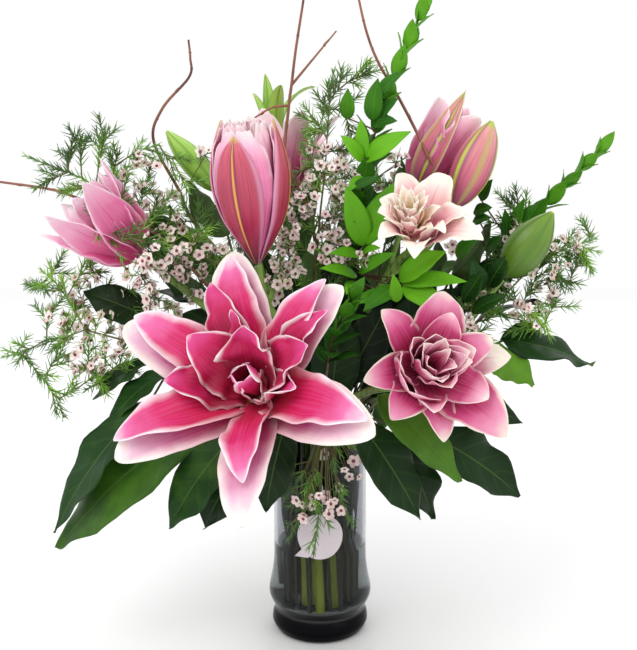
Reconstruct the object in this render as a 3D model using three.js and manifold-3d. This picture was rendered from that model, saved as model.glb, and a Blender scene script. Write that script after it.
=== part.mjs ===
// Pink double lilies, lemon leaf, myrtle, waxflower and curly willow standing in a glass vase of water.
// Millimetres, +Z up. The origin is the centre of the vase's foot, on the surface that it stands on; the
// front of the bouquet, with the largest lily, faces -Y.
import * as THREE from "three";
import { mergeVertices } from "three/addons/utils/BufferGeometryUtils.js";
import Module from "manifold-3d";

const wasm = await Module();
wasm.setup();

// ---------- Driving dimensions ----------

const GAP = 0.35; // clearance between pieces that touch

const vase = {
  height: 222,
  bodyRadius: 45,
  bulgeRadius: 50,
  footRadius: 47,
  waistRadius: 44,
  mouthRadius: 52,
  wall: 3,
  footHeight: 22,
  floor: 4, // glass above the waist, under the water
};
const waterLevel = 88;
const label = { radius: 22, thickness: 0.4, height: 108, tail: 9 };

const lilyStemRadius = 4;
const pedicelRadius = 2.4;
const petalThickness = 1.2;
const leafThickness = 0.8;
const petioleRadius = 1.2;
const twigRadius = 0.8;

const frontLilyReach = 117; // from the flower's axis to the tips of its outer petals
const rightLilyReach = 68;
const paleLilyReach = 50;

// ---------- Solids and joins ----------

const toSolid = (geometry) => {
  const bare = geometry.clone();
  bare.deleteAttribute("normal");
  bare.deleteAttribute("uv");
  const merged = mergeVertices(bare, 1e-3);
  return new wasm.Manifold(
    new wasm.Mesh({
      numProp: 3,
      vertProperties: new Float32Array(merged.attributes.position.array),
      triVerts: new Uint32Array(merged.index.array),
    }),
  );
};

const toGeometry = (solid) => {
  const { vertProperties, triVerts } = solid.getMesh();
  const geometry = new THREE.BufferGeometry();
  geometry.setAttribute("position", new THREE.BufferAttribute(vertProperties, 3));
  geometry.setIndex(new THREE.BufferAttribute(triVerts, 1));
  return geometry;
};

const joined = (geometries) =>
  toGeometry(geometries.map(toSolid).reduce((whole, piece) => whole.add(piece)).simplify(0.1));

const cutBy = (geometry, cutters) =>
  toGeometry(cutters.map(toSolid).reduce((left, cutter) => left.subtract(cutter), toSolid(geometry)));

const vector = (xyz) => new THREE.Vector3(...xyz);

// A round stem of one thickness through the given points.
const tube = (points, radius, sides, steps) => {
  const corners = Array.from({ length: sides }, (_, i) => {
    const angle = (2 * Math.PI * i) / sides;
    return new THREE.Vector2(radius * Math.cos(angle), radius * Math.sin(angle));
  });
  return new THREE.ExtrudeGeometry(new THREE.Shape(corners), {
    steps,
    bevelEnabled: false,
    extrudePath: new THREE.CatmullRomCurve3(points, false, "centripetal"),
  });
};

// A thin box bent over a surface: surface(s, t) gives the point s of the way along and t across, -1 to 1.
const bentSheet = (surface, thickness, along, across) => {
  const geometry = new THREE.BoxGeometry(2, 1, 1, across, along, 1);
  const position = geometry.attributes.position;
  const step = 1e-3;
  for (let i = 0; i < position.count; i++) {
    const s = position.getY(i) + 0.5;
    const t = position.getX(i);
    const low = Math.min(Math.max(s, step), 1 - step);
    const ahead = surface(low + step, t).sub(surface(low - step, t));
    const aside = surface(low, t + step).sub(surface(low, t - step));
    const normal = aside.cross(ahead).normalize();
    const point = surface(s, t).addScaledVector(normal, position.getZ(i) * thickness);
    position.setXYZ(i, point.x, point.y, point.z);
  }
  return geometry;
};

// Half-width of a leaf or petal, as a share of its widest: rootPower and tipPower set how full each end is.
const outline = (s, rootPower, tipPower) => {
  const peak = rootPower / (rootPower + tipPower);
  const highest = peak ** rootPower * (1 - peak) ** tipPower;
  const endWidth = 0.07; // ends stay blunt, so that the solid has no edge of zero width
  return Math.max(endWidth, (s ** rootPower * (1 - s) ** tipPower) / highest);
};

// ---------- Vase, water and label ----------

const mouthStart = vase.height - 52; // where the body starts to flare
const floorTop = vase.footHeight + vase.floor;

const outerProfile = [
  [vase.footRadius - 9, 0],
  [vase.footRadius - 3, 2],
  [vase.footRadius, 9],
  [vase.footRadius - 1, 16],
  [vase.waistRadius, vase.footHeight],
  [vase.bulgeRadius - 1, vase.footHeight + 11],
  [vase.bulgeRadius, vase.footHeight + 19],
  [vase.bulgeRadius - 3.5, vase.footHeight + 38],
  [vase.bodyRadius, vase.footHeight + 56],
  [vase.bodyRadius, mouthStart],
  [vase.bodyRadius + 2.5, vase.height - 20],
  [vase.mouthRadius, vase.height - 1],
];
const innerProfile = [
  [vase.mouthRadius - vase.wall, vase.height - 0.5],
  [vase.bodyRadius + 2.5 - vase.wall, vase.height - 20],
  [vase.bodyRadius - vase.wall, mouthStart],
  [vase.bodyRadius - vase.wall, vase.footHeight + 56],
  [vase.bulgeRadius - 3.5 - vase.wall, vase.footHeight + 38],
  [vase.bulgeRadius - vase.wall, vase.footHeight + 19],
  [vase.bulgeRadius - 2 - vase.wall, floorTop + 5],
  [vase.waistRadius - vase.wall - 4, floorTop],
];
const vaseSides = 32;

const lathe = (profile, sides = vaseSides) =>
  new THREE.LatheGeometry(profile.map(([radius, z]) => new THREE.Vector2(radius, z)), sides).rotateX(Math.PI / 2);

const vaseGeometry = lathe([
  [0, 0],
  ...outerProfile,
  [vase.mouthRadius - vase.wall / 2, vase.height],
  ...innerProfile,
  [0, floorTop],
]);

const bodyBottom = vase.footHeight + 56;
const waterGeometry = lathe([
  [0, floorTop + GAP],
  ...innerProfile
    .filter(([, z]) => z < bodyBottom)
    .reverse()
    .map(([radius, z]) => [radius - GAP, z + GAP]),
  [vase.bodyRadius - vase.wall - GAP, bodyBottom],
  [vase.bodyRadius - vase.wall - GAP, waterLevel],
  [0, waterLevel],
]);

// A round paper label with a small pointed tail, wrapped on the front of the glass.
const labelRadius = vase.bodyRadius + GAP + label.thickness / 2;
const onGlass = (across, up) =>
  new THREE.Vector3(
    labelRadius * Math.sin(across / labelRadius),
    -labelRadius * Math.cos(across / labelRadius),
    label.height + up,
  );
const labelDisc = bentSheet(
  (s, t) => {
    const up = 2 * s - 1;
    return onGlass(label.radius * t * Math.sqrt(1 - (up * up) / 2), label.radius * up * Math.sqrt(1 - (t * t) / 2));
  },
  label.thickness,
  4,
  6,
);
const labelTail = bentSheet(
  (s, t) => {
    const halfWidth = 1 + 4 * s;
    const reach = label.radius + label.tail * (1 - s) - 4 * s;
    return onGlass(-reach * Math.sin(0.75) + halfWidth * t, -reach * Math.cos(0.75));
  },
  label.thickness,
  3,
  1,
);

// ---------- Stems in the vase ----------

// Stems stand in staggered rows across the bore, set a little forward so that its back stays open.
const stemSpacing = (vase.bodyRadius - vase.wall) / 3.5;
const bundleForward = 4.5;
const drawnIn = 0.78; // share of the spacing left below the mouth
const bundleTwist = THREE.MathUtils.degToRad(10);

const seatAt = ([column, row]) =>
  new THREE.Vector2((column * stemSpacing) / 2, row * 0.875 * stemSpacing - bundleForward);

const inVase = (seat, twist, z) => {
  const place = seatAt(seat).multiplyScalar(drawnIn).rotateAround(new THREE.Vector2(), twist);
  return new THREE.Vector3(place.x, place.y, z);
};

// A point above the mouth, measured from where the stem of that seat leaves the vase.
const above = (seat, [x, y, z]) => new THREE.Vector3(seatAt(seat).x + x, seatAt(seat).y + y, vase.height + z);

const stemPath = (seat, route) => [
  inVase(seat, bundleTwist, floorTop + 2),
  inVase(seat, 0, mouthStart - 20),
  above(seat, [0, 0, -4]),
  ...route.map((offset) => above(seat, offset)),
];

const curveOf = (path) => new THREE.CatmullRomCurve3(path, false, "centripetal");

const waterCutters = [];

const stemSteps = 12;

const standingStem = (path, radius, sides = 5, steps = stemSteps) => {
  waterCutters.push(tube(path, radius + GAP, sides, steps));
  return tube(path, radius, sides, steps);
};

// The middle line of a tube runs straight from each step to the next; this is its point at a share of its length.
const onTube = (curve, share, steps = stemSteps) => {
  const step = Math.min(Math.floor(share * steps), steps - 1);
  return curve.getPointAt(step / steps).lerp(curve.getPointAt((step + 1) / steps), share * steps - step);
};

// The point of a stem that is nearest to the given one, of those outside the vase.
const nearestOn = (curve, point, samples = 60) =>
  Array.from({ length: samples }, (_, i) => onTube(curve, 0.4 + (0.59 * i) / samples))
    .filter(({ x, y, z }) => z > vase.height + 3 || Math.hypot(x, y) > vase.mouthRadius + 3)
    .reduce((best, next) => (next.distanceTo(point) < best.distanceTo(point) ? next : best));

// ---------- Leaves ----------

const LEMON_LEAF = { rootPower: 0.6, tipPower: 0.95, bow: 0.07, fold: 0.14 };
const MYRTLE_LEAF = { rootPower: 0.7, tipPower: 1, bow: 0.05, fold: 0.2 };

// A leaf from base to tip: facing is its upper side, bow its arch and fold the lift of its two halves.
const leaf = (base, tip, width, facing, { rootPower, tipPower, bow, fold }, along = 3) => {
  const length = base.distanceTo(tip);
  const ahead = tip.clone().sub(base).normalize();
  const up = facing.clone().addScaledVector(ahead, -facing.dot(ahead)).normalize();
  const aside = ahead.clone().cross(up);
  const surface = (s, t) => {
    const half = (width / 2) * outline(s, rootPower, tipPower);
    return base
      .clone()
      .addScaledVector(ahead, length * s)
      .addScaledVector(up, 4 * bow * length * s * (1 - s) + fold * half * Math.abs(t))
      .addScaledVector(aside, half * t);
  };
  return bentSheet(surface, leafThickness, along, 2);
};

// Leaves turn their upper side outwards and up, those at the front more towards the front.
const outward = (point) => new THREE.Vector3(point.x * 0.5, point.y - 30, 0).normalize().setZ(0.7);

// A leaf on its own short stalk, which grows from the nearest part of its branch.
const stalkedLeaf = (seat, curve, [base, tip, width, facing]) => {
  const root = above(seat, base);
  const end = above(seat, tip);
  const start = nearestOn(curve, root);
  const stalk = tube([start, root.clone().lerp(end, 0.03)], petioleRadius, 4, 1);
  return [stalk, leaf(root, end, width, facing ? vector(facing) : outward(root), LEMON_LEAF)];
};

// Leaves set spirally along the upper part of a twig, leaning forward along it.
const goldenAngle = THREE.MathUtils.degToRad(137.5);
const leafySpiral = (curve, steps, { start, count, length, width, lean }) =>
  Array.from({ length: count }, (_, i) => {
    const share = start + ((0.99 - start) * i) / (count - 1);
    const root = onTube(curve, share, steps);
    const ahead = curve.getTangentAt(share);
    const out = new THREE.Vector3(0, -1, 0).cross(ahead).normalize().applyAxisAngle(ahead, i * goldenAngle);
    const size = 1 - (0.4 * i) / count;
    const direction = ahead.clone().multiplyScalar(Math.cos(lean)).addScaledVector(out, Math.sin(lean));
    const facing = ahead.clone().multiplyScalar(Math.sin(lean)).addScaledVector(out, -Math.cos(lean));
    const tip = root.clone().addScaledVector(direction, length * size);
    return leaf(root, tip, width * size, facing, MYRTLE_LEAF, 2);
  });

// ---------- Flowers ----------

// One petal in its flower's frame, +Z along the axis. line holds the four control points, as
// [radius, height], of the curve that the midrib follows; cup lifts the two edges.
const petal = ({ line, width, cup = 0.1, rootPower = 1, tipPower = 0.5 }, along = 5) => {
  const midrib = new THREE.CubicBezierCurve(...line.map(([radius, height]) => new THREE.Vector2(radius, height)));
  const surface = (s, t) => {
    const point = midrib.getPoint(s);
    const ahead = midrib.getTangent(s);
    const half = (width / 2) * outline(s, rootPower, tipPower);
    const lift = cup * half * t * t;
    return new THREE.Vector3(point.x - ahead.y * lift, half * t, point.y + ahead.x * lift);
  };
  return bentSheet(surface, petalThickness, along, 2);
};

const turned = (geometry, degrees) => geometry.rotateZ(THREE.MathUtils.degToRad(degrees));

// The crowded small petals in the middle of a double lily, grown together on one short post.
const heartOf = ({ count, turn, post: [radius, bottom, top], ...shape }) => [
  new THREE.CylinderGeometry(radius, radius, top - bottom, 8)
    .rotateX(Math.PI / 2)
    .translate(0, 0, (top + bottom) / 2),
  ...Array.from({ length: count }, (_, i) => turned(petal(shape, 4), turn + (360 * i) / count)),
];

// A closed bud in its own frame: radii at equal steps from the stalk to the tip.
const budOf = (length, radii, sides = 10) =>
  lathe([[0, 0], ...radii.map((radius, i) => [radius, (length * i) / (radii.length - 1)]), [0, length]], sides);

// ---------- Materials and placing ----------

const materials = Object.fromEntries(
  Object.entries({
    glass: 0x8d9299,
    water: 0xa9b3ad,
    paper: 0xe6dde0,
    stem: 0x6f9636,
    lemon_leaf: 0x1f4a22,
    myrtle: 0x3f8a1e,
    waxflower: 0x4d6b35,
    willow: 0x7a4638,
    pink_petal: 0xd24a82,
    pale_petal: 0xf0d4cf,
    pink_bud: 0xc7647f,
    green_bud: 0x86b32e,
  }).map(([name, color]) => [
    name,
    new THREE.MeshStandardMaterial({ name, color, roughness: name === "glass" || name === "water" ? 0.05 : 0.5 }),
  ]),
);

const bouquet = new THREE.Group();

const add = (name, geometry, material, parent = bouquet) => {
  const mesh = new THREE.Mesh(geometry, materials[material]);
  mesh.name = name;
  parent.add(mesh);
};

// A frame with its +Z along the axis, at the given point above the mouth.
const flowerFrame = (seat, offset, axis) => {
  const frame = new THREE.Group();
  frame.up.set(0, 0, 1);
  frame.lookAt(vector(axis));
  frame.position.copy(above(seat, offset));
  bouquet.add(frame);
  return frame;
};

// A whorl of petals, each its own piece, turned to its own angle in degrees, counter-clockwise from the right.
const addWhorl = (frame, name, angles, shape, material) =>
  angles.forEach((degrees, i) => add(`${name}_${i + 1}`, turned(petal(shape), degrees), material, frame));

const raised = (line, inwards, up) => line.map(([radius, height]) => [radius - inwards, height + up]);

// ---------- Lilies ----------

const seats = { front: [-1, -3], tall: [-1, -1], right: [2, -2], pale: [2, 0], left: [-3, -1] };

const addLilyStem = (name, seat, route, pedicels = [], extras = []) => {
  const main = standingStem(stemPath(seat, route), lilyStemRadius, 6, 13);
  const side = pedicels.map((points) => tube(points.map((offset) => above(seat, offset)), pedicelRadius, 5, 5));
  add(name, joined([main, ...side, ...extras]), "stem");
};

addLilyStem("lily_stem_front", seats.front, [
  [-13, -22, 13],
  [-28, -62, 19],
  [-38, -85, 36],
]);
addLilyStem(
  "lily_stem_right",
  seats.right,
  [
    [28, -22, 24],
    [54, -40, 34],
    [75, -52, 48],
  ],
  [
    [
      [50, -38, 32],
      [108, -4, 68],
      [156, 6, 124],
    ],
  ],
);
addLilyStem(
  "lily_stem_pale",
  seats.pale,
  [
    [24, -10, 78],
    [54, -22, 135],
    [74, -38, 156],
  ],
  [
    [
      [50, -20, 128],
      [60, -2, 158],
      [80, 14, 207],
    ],
    [
      [50, -20, 128],
      [82, -12, 147],
      [108, -16, 186],
    ],
  ],
);
addLilyStem("lily_stem_left", seats.left, [
  [-48, -5, 63],
  [-102, -13, 113],
  [-142, -15, 145],
]);

// The front lily: six broad outer petals, six ruffled inner ones and a heart of small upright petals.
const frontLily = flowerFrame(seats.front, [-39.5, -88, 38.5], [-0.34, -0.73, 0.56]);
const frontOuter = [
  [5.4, -1],
  [18, 8],
  [0.5 * frontLilyReach, 46],
  [frontLilyReach, 40],
];
const frontInner = [
  [5, 4],
  [12, 20],
  [0.32 * frontLilyReach, 58],
  [0.8 * frontLilyReach, 56],
];
addWhorl(frontLily, "front_lily_sepal", [112, -17, 218], { line: frontOuter, width: 0.39 * frontLilyReach, cup: 0.04 }, "pink_petal");
addWhorl(
  frontLily,
  "front_lily_petal",
  [57, -73, 166],
  { line: raised(frontOuter, 0, 2.4), width: 0.44 * frontLilyReach, cup: 0.14 },
  "pink_petal",
);
addWhorl(frontLily, "front_lily_inner_low", [112, -17, 218], { line: frontInner, width: 0.27 * frontLilyReach, cup: 0.04 }, "pink_petal");
addWhorl(
  frontLily,
  "front_lily_inner",
  [57, -73, 166],
  { line: raised(frontInner, 0.3, 3), width: 0.29 * frontLilyReach, cup: 0.14 },
  "pink_petal",
);
add(
  "front_lily_heart",
  joined(
    heartOf({
      count: 5,
      turn: 12,
      post: [2.6, 1, 18],
      line: [
        [1.8, 14],
        [9, 20],
        [12, 40],
        [20, 56],
      ],
      width: 17,
      cup: 0.4,
      rootPower: 1.6,
    }),
  ),
  "pink_petal",
  frontLily,
);

// The lily at the right, less open, with the same crowded heart.
const rightLily = flowerFrame(seats.right, [76, -56, 50], [0.15, -0.9, 0.38]);
const rightOuter = [
  [5.4, -1],
  [24, 14],
  [0.56 * rightLilyReach, 60],
  [rightLilyReach, 34],
];
addWhorl(rightLily, "right_lily_sepal", [30, 150, 270], { line: rightOuter, width: 40, cup: 0.04 }, "pink_petal");
addWhorl(
  rightLily,
  "right_lily_petal",
  [90, 210, 330],
  { line: raised(rightOuter, 0, 2.4), width: 44, cup: 0.14 },
  "pink_petal",
);
add(
  "right_lily_heart",
  joined([
    ...heartOf({
      count: 6,
      turn: 0,
      post: [2.6, 1, 26],
      line: [
        [1.8, 8],
        [14, 18],
        [18, 50],
        [38, 52],
      ],
      width: 22,
      cup: 0.1,
      rootPower: 1.2,
    }),
    ...heartOf({
      count: 4,
      turn: 20,
      post: [2.6, 2, 26],
      line: [
        [1.8, 22],
        [9, 26],
        [9, 46],
        [16, 60],
      ],
      width: 14,
      cup: 0.4,
      rootPower: 1.6,
    }),
  ]),
  "pink_petal",
  rightLily,
);

// The pale lily above it, half open.
const paleLily = flowerFrame(seats.pale, [75, -41, 159], [-0.1, -0.7, 0.7]);
const paleOuter = [
  [5.2, -1],
  [14, 18],
  [0.5 * paleLilyReach, 52],
  [paleLilyReach, 40],
];
addWhorl(paleLily, "pale_lily_sepal", [30, 150, 270], { line: paleOuter, width: 25, cup: 0.04 }, "pale_petal");
addWhorl(
  paleLily,
  "pale_lily_petal",
  [90, 210, 330],
  { line: raised(paleOuter, 1.4, 2), width: 26, cup: 0.1 },
  "pale_petal",
);
add(
  "pale_lily_heart",
  joined(
    heartOf({
      count: 5,
      turn: 12,
      post: [2.4, 1, 20],
      line: [
        [1.6, 12],
        [8, 20],
        [12, 40],
        [22, 50],
      ],
      width: 16,
      cup: 0.4,
      rootPower: 1.6,
    }),
  ),
  "pale_petal",
  paleLily,
);

// Buds and half-open flowers: each is one body around its own axis.
const addBud = (name, seat, offset, axis, material, geometries) =>
  add(name, joined(geometries), material, flowerFrame(seat, offset, axis));

const ring = (count, turn, shape) => Array.from({ length: count }, (_, i) => turned(petal(shape, 4), turn + (360 * i) / count));

addBud("tall_bud", seats.tall, [-48.5, -46, 143], [-0.07, -0.18, 0.98], "pink_bud", [
  budOf(118, [4, 15, 27, 34, 35, 30, 18], 12),
  ...ring(3, 30, {
    line: [
      [30, 62],
      [36, 84],
      [34, 104],
      [26, 126],
    ],
    width: 34,
    cup: 0.2,
    rootPower: 0.6,
  }),
]);
addBud("left_lily", seats.left, [-144, -15.3, 147.2], [-0.72, -0.14, 0.68], "pale_petal", [
  budOf(48, [3.5, 6, 10, 13]),
  ...ring(6, 0, {
    line: [
      [10, 42],
      [14, 56],
      [18, 72],
      [36, 84],
    ],
    width: 19,
    cup: 0.1,
    rootPower: 1,
  }),
]);
addBud("green_tipped_lily", seats.pale, [81, 14.5, 210], [0.5, 0.1, 0.86], "green_bud", [
  budOf(52, [3, 9, 14, 16]),
  ...ring(6, 15, {
    line: [
      [13, 46],
      [18, 58],
      [20, 72],
      [34, 88],
    ],
    width: 19,
    cup: 0.1,
    rootPower: 1,
  }),
]);
addBud("striped_bud", seats.pale, [109, -16, 189], [0.39, 0, 0.92], "pink_bud", [
  budOf(78, [3, 10, 15, 16, 14, 9, 3]),
]);
addBud("right_bud", seats.right, [157, 6, 127], [0.55, -0.16, 0.82], "green_bud", [
  budOf(68, [3, 11, 17, 17, 14, 9, 3]),
]);
addBud("back_lily", seats.tall, [-29, 57.5, 232], [-0.1, 0.4, 0.9], "pale_petal", [
  budOf(34, [3, 6, 10, 12]),
  ...ring(6, 30, {
    line: [
      [9, 28],
      [15, 42],
      [22, 60],
      [42, 60],
    ],
    width: 20,
    cup: 0.1,
    rootPower: 1,
  }),
]);

// The tall stem ends in three: the large bud, the back lily and a slender green bud, which is joined to it.
const slenderBud = budOf(70, [2.4, 7, 10, 10, 8, 5, 2]);
slenderBud.applyQuaternion(
  new THREE.Quaternion().setFromUnitVectors(new THREE.Vector3(0, 0, 1), vector([-0.66, 0, 0.75]).normalize()),
);
slenderBud.translate(...above(seats.tall, [-88, 35, 203]).toArray());
addLilyStem(
  "lily_stem_tall",
  seats.tall,
  [
    [-20, -15, 68],
    [-42, -37, 108],
    [-48, -45, 140],
  ],
  [
    [
      [-40, -35, 104],
      [-54, 15, 148],
      [-89, 35, 205],
    ],
    [
      [-40, -35, 104],
      [-28, 30, 158],
      [-29, 57, 229],
    ],
  ],
  [slenderBud],
);

// ---------- Lemon leaf ----------

const branchRadius = 2.2;

const addBranch = (name, seat, route, leaves) => {
  const path = stemPath(seat, route);
  const curve = curveOf(path);
  add(
    name,
    joined([standingStem(path, branchRadius), ...leaves.flatMap((shape) => stalkedLeaf(seat, curve, shape))]),
    "lemon_leaf",
  );
};

addBranch("lemon_leaf_left", [-6, 0], [[-34, -10, 18], [-64, -16, 40], [-96, -20, 54]], [
  [[-74, -60, 2], [-204, -56, -119], 76],
  [[-116, -46, 18], [-203, -66, -100], 56],
  [[-127, -16, 45], [-180, -6, 9], 30],
  [[-107, -26, 40], [-162, -36, -12], 34],
  [[-123, -6, 87], [-187, 4, 110], 34],
]);
addBranch("lemon_leaf_front_left", [-3, -3], [[-8, -18, 10], [-20, -34, 8]], [
  [[-58, -48, -6], [-116, -48, -91], 44],
  [[-40, -38, -14], [-86, -34, -96], 44],
  [[-30, -54, 2], [-66, -56, -53], 26],
  [[-12, -40, 4], [-30, -42, -77], 36],
]);
addBranch("lemon_leaf_front_right", [3, -3], [[8, -18, 10], [20, -34, 8]], [
  [[18, -50, 4], [70, -50, -81], 42],
  [[49, -30, -10], [84, -26, -90], 40],
  [[31, -64, 34], [101, -74, -39], 50, [0.9, -0.1, 0.6]],
  [[78, -34, -8], [161, -34, -66], 46],
]);
addBranch("lemon_leaf_right", [6, 0], [[34, -6, 18], [69, -10, 40], [96, -14, 52]], [
  [[133, -6, 66], [221, -6, 41], 50],
  [[108, -30, 58], [158, -40, 30], 50],
  [[80, -34, 20], [150, -36, -6], 36],
]);
addBranch("lemon_leaf_back_left", [-4, 2], [[-14, 16, 24], [-34, 44, 62]], [
  [[-44, 46, 60], [-130, 80, 10], 56],
  [[-34, 58, 64], [-70, 130, 30], 56],
  [[-46, 40, 92], [-118, 70, 140], 44],
  [[-20, 50, 36], [-50, 80, -50], 50],
]);
addBranch("lemon_leaf_back_right", [4, 2], [[16, 18, 24], [40, 46, 60]], [
  [[50, 48, 56], [130, 84, 10], 56],
  [[40, 60, 62], [76, 130, 30], 56],
  [[52, 44, 88], [120, 76, 130], 44],
  [[24, 52, 36], [44, 80, -50], 50],
]);

// ---------- Myrtle ----------

const addMyrtle = (name, seat, route, spiral) => {
  const path = stemPath(seat, route);
  add(
    name,
    joined([
      standingStem(path, petioleRadius + 0.4),
      ...leafySpiral(curveOf(path), stemSteps, spiral),
    ]),
    "myrtle",
  );
};

addMyrtle(
  "myrtle_centre",
  [1, 1],
  [
    [4, -2, 78],
    [24, -11, 113],
    [29, -16, 160],
    [34, -16, 215],
    [53, -16, 286],
    [81, -16, 354],
  ],
  { start: 0.62, count: 14, length: 42, width: 20, lean: 0.8 },
);
addMyrtle(
  "myrtle_right",
  [4, 0],
  [
    [46, 6, 38],
    [106, 20, 98],
    [154, 34, 150],
    [199, 36, 196],
    [240, 36, 240],
  ],
  { start: 0.62, count: 11, length: 42, width: 20, lean: 0.8 },
);
addMyrtle(
  "myrtle_front",
  [0, -2],
  [
    [6, -18, 40],
    [12, -36, 78],
    [27, -54, 113],
  ],
  { start: 0.72, count: 7, length: 38, width: 18, lean: 0.8 },
);

// ---------- Waxflower ----------

const blossomRadius = 5.5;

// A branching twig whose every side shoot ends in one small cup-shaped blossom.
const addWaxflower = (name, seat, route, tips) => {
  const path = stemPath(seat, route);
  const curve = curveOf(path);
  const shoots = tips.flatMap((offset) => {
    const tip = above(seat, offset);
    const start = nearestOn(curve, tip.clone().setZ(tip.z - 0.3 * curve.getPointAt(1).distanceTo(tip)));
    const middle = start.clone().lerp(tip, 0.5).setZ(0.35 * start.z + 0.65 * tip.z);
    const cup = new THREE.CylinderGeometry(blossomRadius, 1.5, 6, 5)
      .rotateX(Math.PI / 2)
      .applyQuaternion(
        new THREE.Quaternion().setFromUnitVectors(new THREE.Vector3(0, 0, 1), tip.clone().sub(middle).normalize()),
      )
      .translate(...tip.toArray());
    return [tube([start, middle, tip], twigRadius, 3, 2), cup];
  });
  add(name, joined([standingStem(path, twigRadius * 2, 4), ...shoots]), "waxflower");
};

addWaxflower("waxflower_upper_left", [-2, 0], [[-28, -6, 68], [-68, -12, 128], [-131, -6, 160]], [
  [-254, -6, 234], [-214, 4, 226], [-185, 14, 258], [-159, 10, 242], [-185, -70, 193], [-111, 50, 240],
  [-160, -56, 201], [-101, 14, 210], [-137, -56, 119], [-115, -56, 110],
]);
addWaxflower("waxflower_left", [-5, -1], [[-40, -15, 28], [-110, -19, 58], [-185, -15, 79]], [
  [-223, -15, 141], [-232, -15, 114], [-259, -15, 56], [-208, -25, 17], [-223, 5, 80], [-173, -5, 115],
  [-174, -25, 67], [-148, -35, 109],
]);
addWaxflower("waxflower_centre", [0, 0], [[-4, -8, 78], [-2, -10, 158], [5, -10, 228]], [
  [12, -6, 293], [-7, -16, 263], [27, 4, 282], [-18, -36, 166], [22, -36, 206], [13, -46, 188],
  [-28, -46, 143], [0, -46, 240],
]);
addWaxflower("waxflower_right", [5, -1], [[40, -9, 33], [110, 0, 78], [163, 14, 128]], [
  [135, 25, 192], [223, 20, 165], [217, 20, 139], [198, 5, 116], [196, 10, 95], [176, 0, 81],
  [117, 25, 174], [126, -35, 105],
]);
addWaxflower("waxflower_front", [1, -3], [[0, -18, 9], [-2, -30, 2], [-4, -32, -18]], [
  [-12, -26, -125], [-35, -19, -113], [20, -24, -92], [-39, -22, -73], [-20, -28, -71], [12, -30, -29],
]);
addWaxflower("waxflower_back", [2, 2], [[2, 30, 60], [0, 60, 130], [-4, 70, 190]], [
  [10, 90, 230], [-30, 90, 220], [40, 96, 190], [-50, 100, 170], [20, 110, 150], [-20, 112, 130],
  [60, 90, 140], [0, 80, 250],
]);

// ---------- Curly willow ----------

const willowRadius = 1.9;

const addWillow = (name, seat, route, forks = []) =>
  add(
    name,
    joined([
      standingStem(stemPath(seat, route), willowRadius, 5, 24),
      ...forks.map((points) => tube(points.map((offset) => above(seat, offset)), willowRadius * 0.7, 4, 4)),
    ]),
    "willow",
  );

addWillow("willow_left", [-3, 1], [
  [-16, 0, 78], [-97, 12, 168], [-116, 12, 206], [-138, 10, 251], [-128, 4, 280], [-102, 0, 308],
  [-100, -4, 324], [-101, -6, 340],
]);
addWillow(
  "willow_fork",
  [-1, 1],
  [
    [-4, -2, 78], [2, 4, 151], [-12, -8, 206], [-26, -10, 233], [-23, -6, 278], [-20, -6, 300],
    [-16, -6, 331], [-9, -6, 374], [-4, -6, 409],
  ],
  [
    [[-20, -6, 300], [-1, -1, 323], [21, 2, 349]],
    [[-23, -6, 282], [-38, -6, 280], [-54, -6, 271]],
  ],
);
addWillow("willow_right", [3, 1], [
  [12, 2, 78], [38, -2, 178], [91, -11, 206], [78, -11, 242], [55, -6, 287], [35, -6, 320],
  [24, -6, 347], [16, -6, 379], [9, -6, 409],
]);
addWillow("willow_side", [-5, 1], [
  [-30, 2, 58], [-80, 4, 118], [-130, 6, 168], [-202, 9, 199], [-231, 14, 207], [-273, 14, 213],
  [-287, 14, 216],
]);

// ---------- Vase ----------

add("vase", vaseGeometry, "glass");
add("label", joined([labelDisc, labelTail]), "paper");
add("water", cutBy(waterGeometry, waterCutters), "water");

export default bouquet;
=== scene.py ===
import math
import random

import bmesh
import bpy
from mathutils import Matrix, Quaternion, Vector, noise


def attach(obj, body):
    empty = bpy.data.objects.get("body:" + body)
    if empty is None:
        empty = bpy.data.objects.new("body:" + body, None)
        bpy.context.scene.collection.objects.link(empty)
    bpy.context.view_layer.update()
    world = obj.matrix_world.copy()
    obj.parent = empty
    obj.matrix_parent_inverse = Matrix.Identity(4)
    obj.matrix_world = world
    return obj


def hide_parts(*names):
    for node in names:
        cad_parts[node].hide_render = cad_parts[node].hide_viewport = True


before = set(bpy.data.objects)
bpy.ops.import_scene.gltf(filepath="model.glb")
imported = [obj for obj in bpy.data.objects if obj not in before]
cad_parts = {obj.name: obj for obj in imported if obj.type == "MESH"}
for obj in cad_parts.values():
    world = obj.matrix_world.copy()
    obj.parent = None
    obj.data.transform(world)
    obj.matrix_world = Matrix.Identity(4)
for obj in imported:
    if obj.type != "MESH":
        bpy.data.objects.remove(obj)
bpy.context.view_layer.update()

# ---------- Camera ----------
# A standing viewer's camera, a little above the flowers and looking slightly down at them.
eye = Vector((0, -0.844, 0.430))
look_down = math.radians(8.7)
lens = bpy.data.cameras.new("camera")
VIEW_SIDE = 650
lens.sensor_width = 36
lens.lens = lens.sensor_width * 900 / VIEW_SIDE
lens.shift_x = -1.5 / VIEW_SIDE
lens.clip_start = 0.02
camera = bpy.data.objects.new("camera", lens)
camera.location = eye
camera.rotation_euler = (math.pi / 2 - look_down, 0, 0)
bpy.context.scene.collection.objects.link(camera)
bpy.context.scene.camera = camera

# ---------- Studio ----------
# A white table under a plain white sky, lit by large soft lamps from the front left, the front right and
# behind.


# Short names for the shader's inputs.
SETTINGS = {
    "colour": "Base Color",
    "roughness": "Roughness",
    "ior": "IOR",
    "specular": "Specular IOR Level",
    "transmission": "Transmission Weight",
    "sheen": "Sheen Weight",
    "sheen_roughness": "Sheen Roughness",
    "subsurface": "Subsurface Weight",
    "subsurface_scale": "Subsurface Scale",
}


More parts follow.
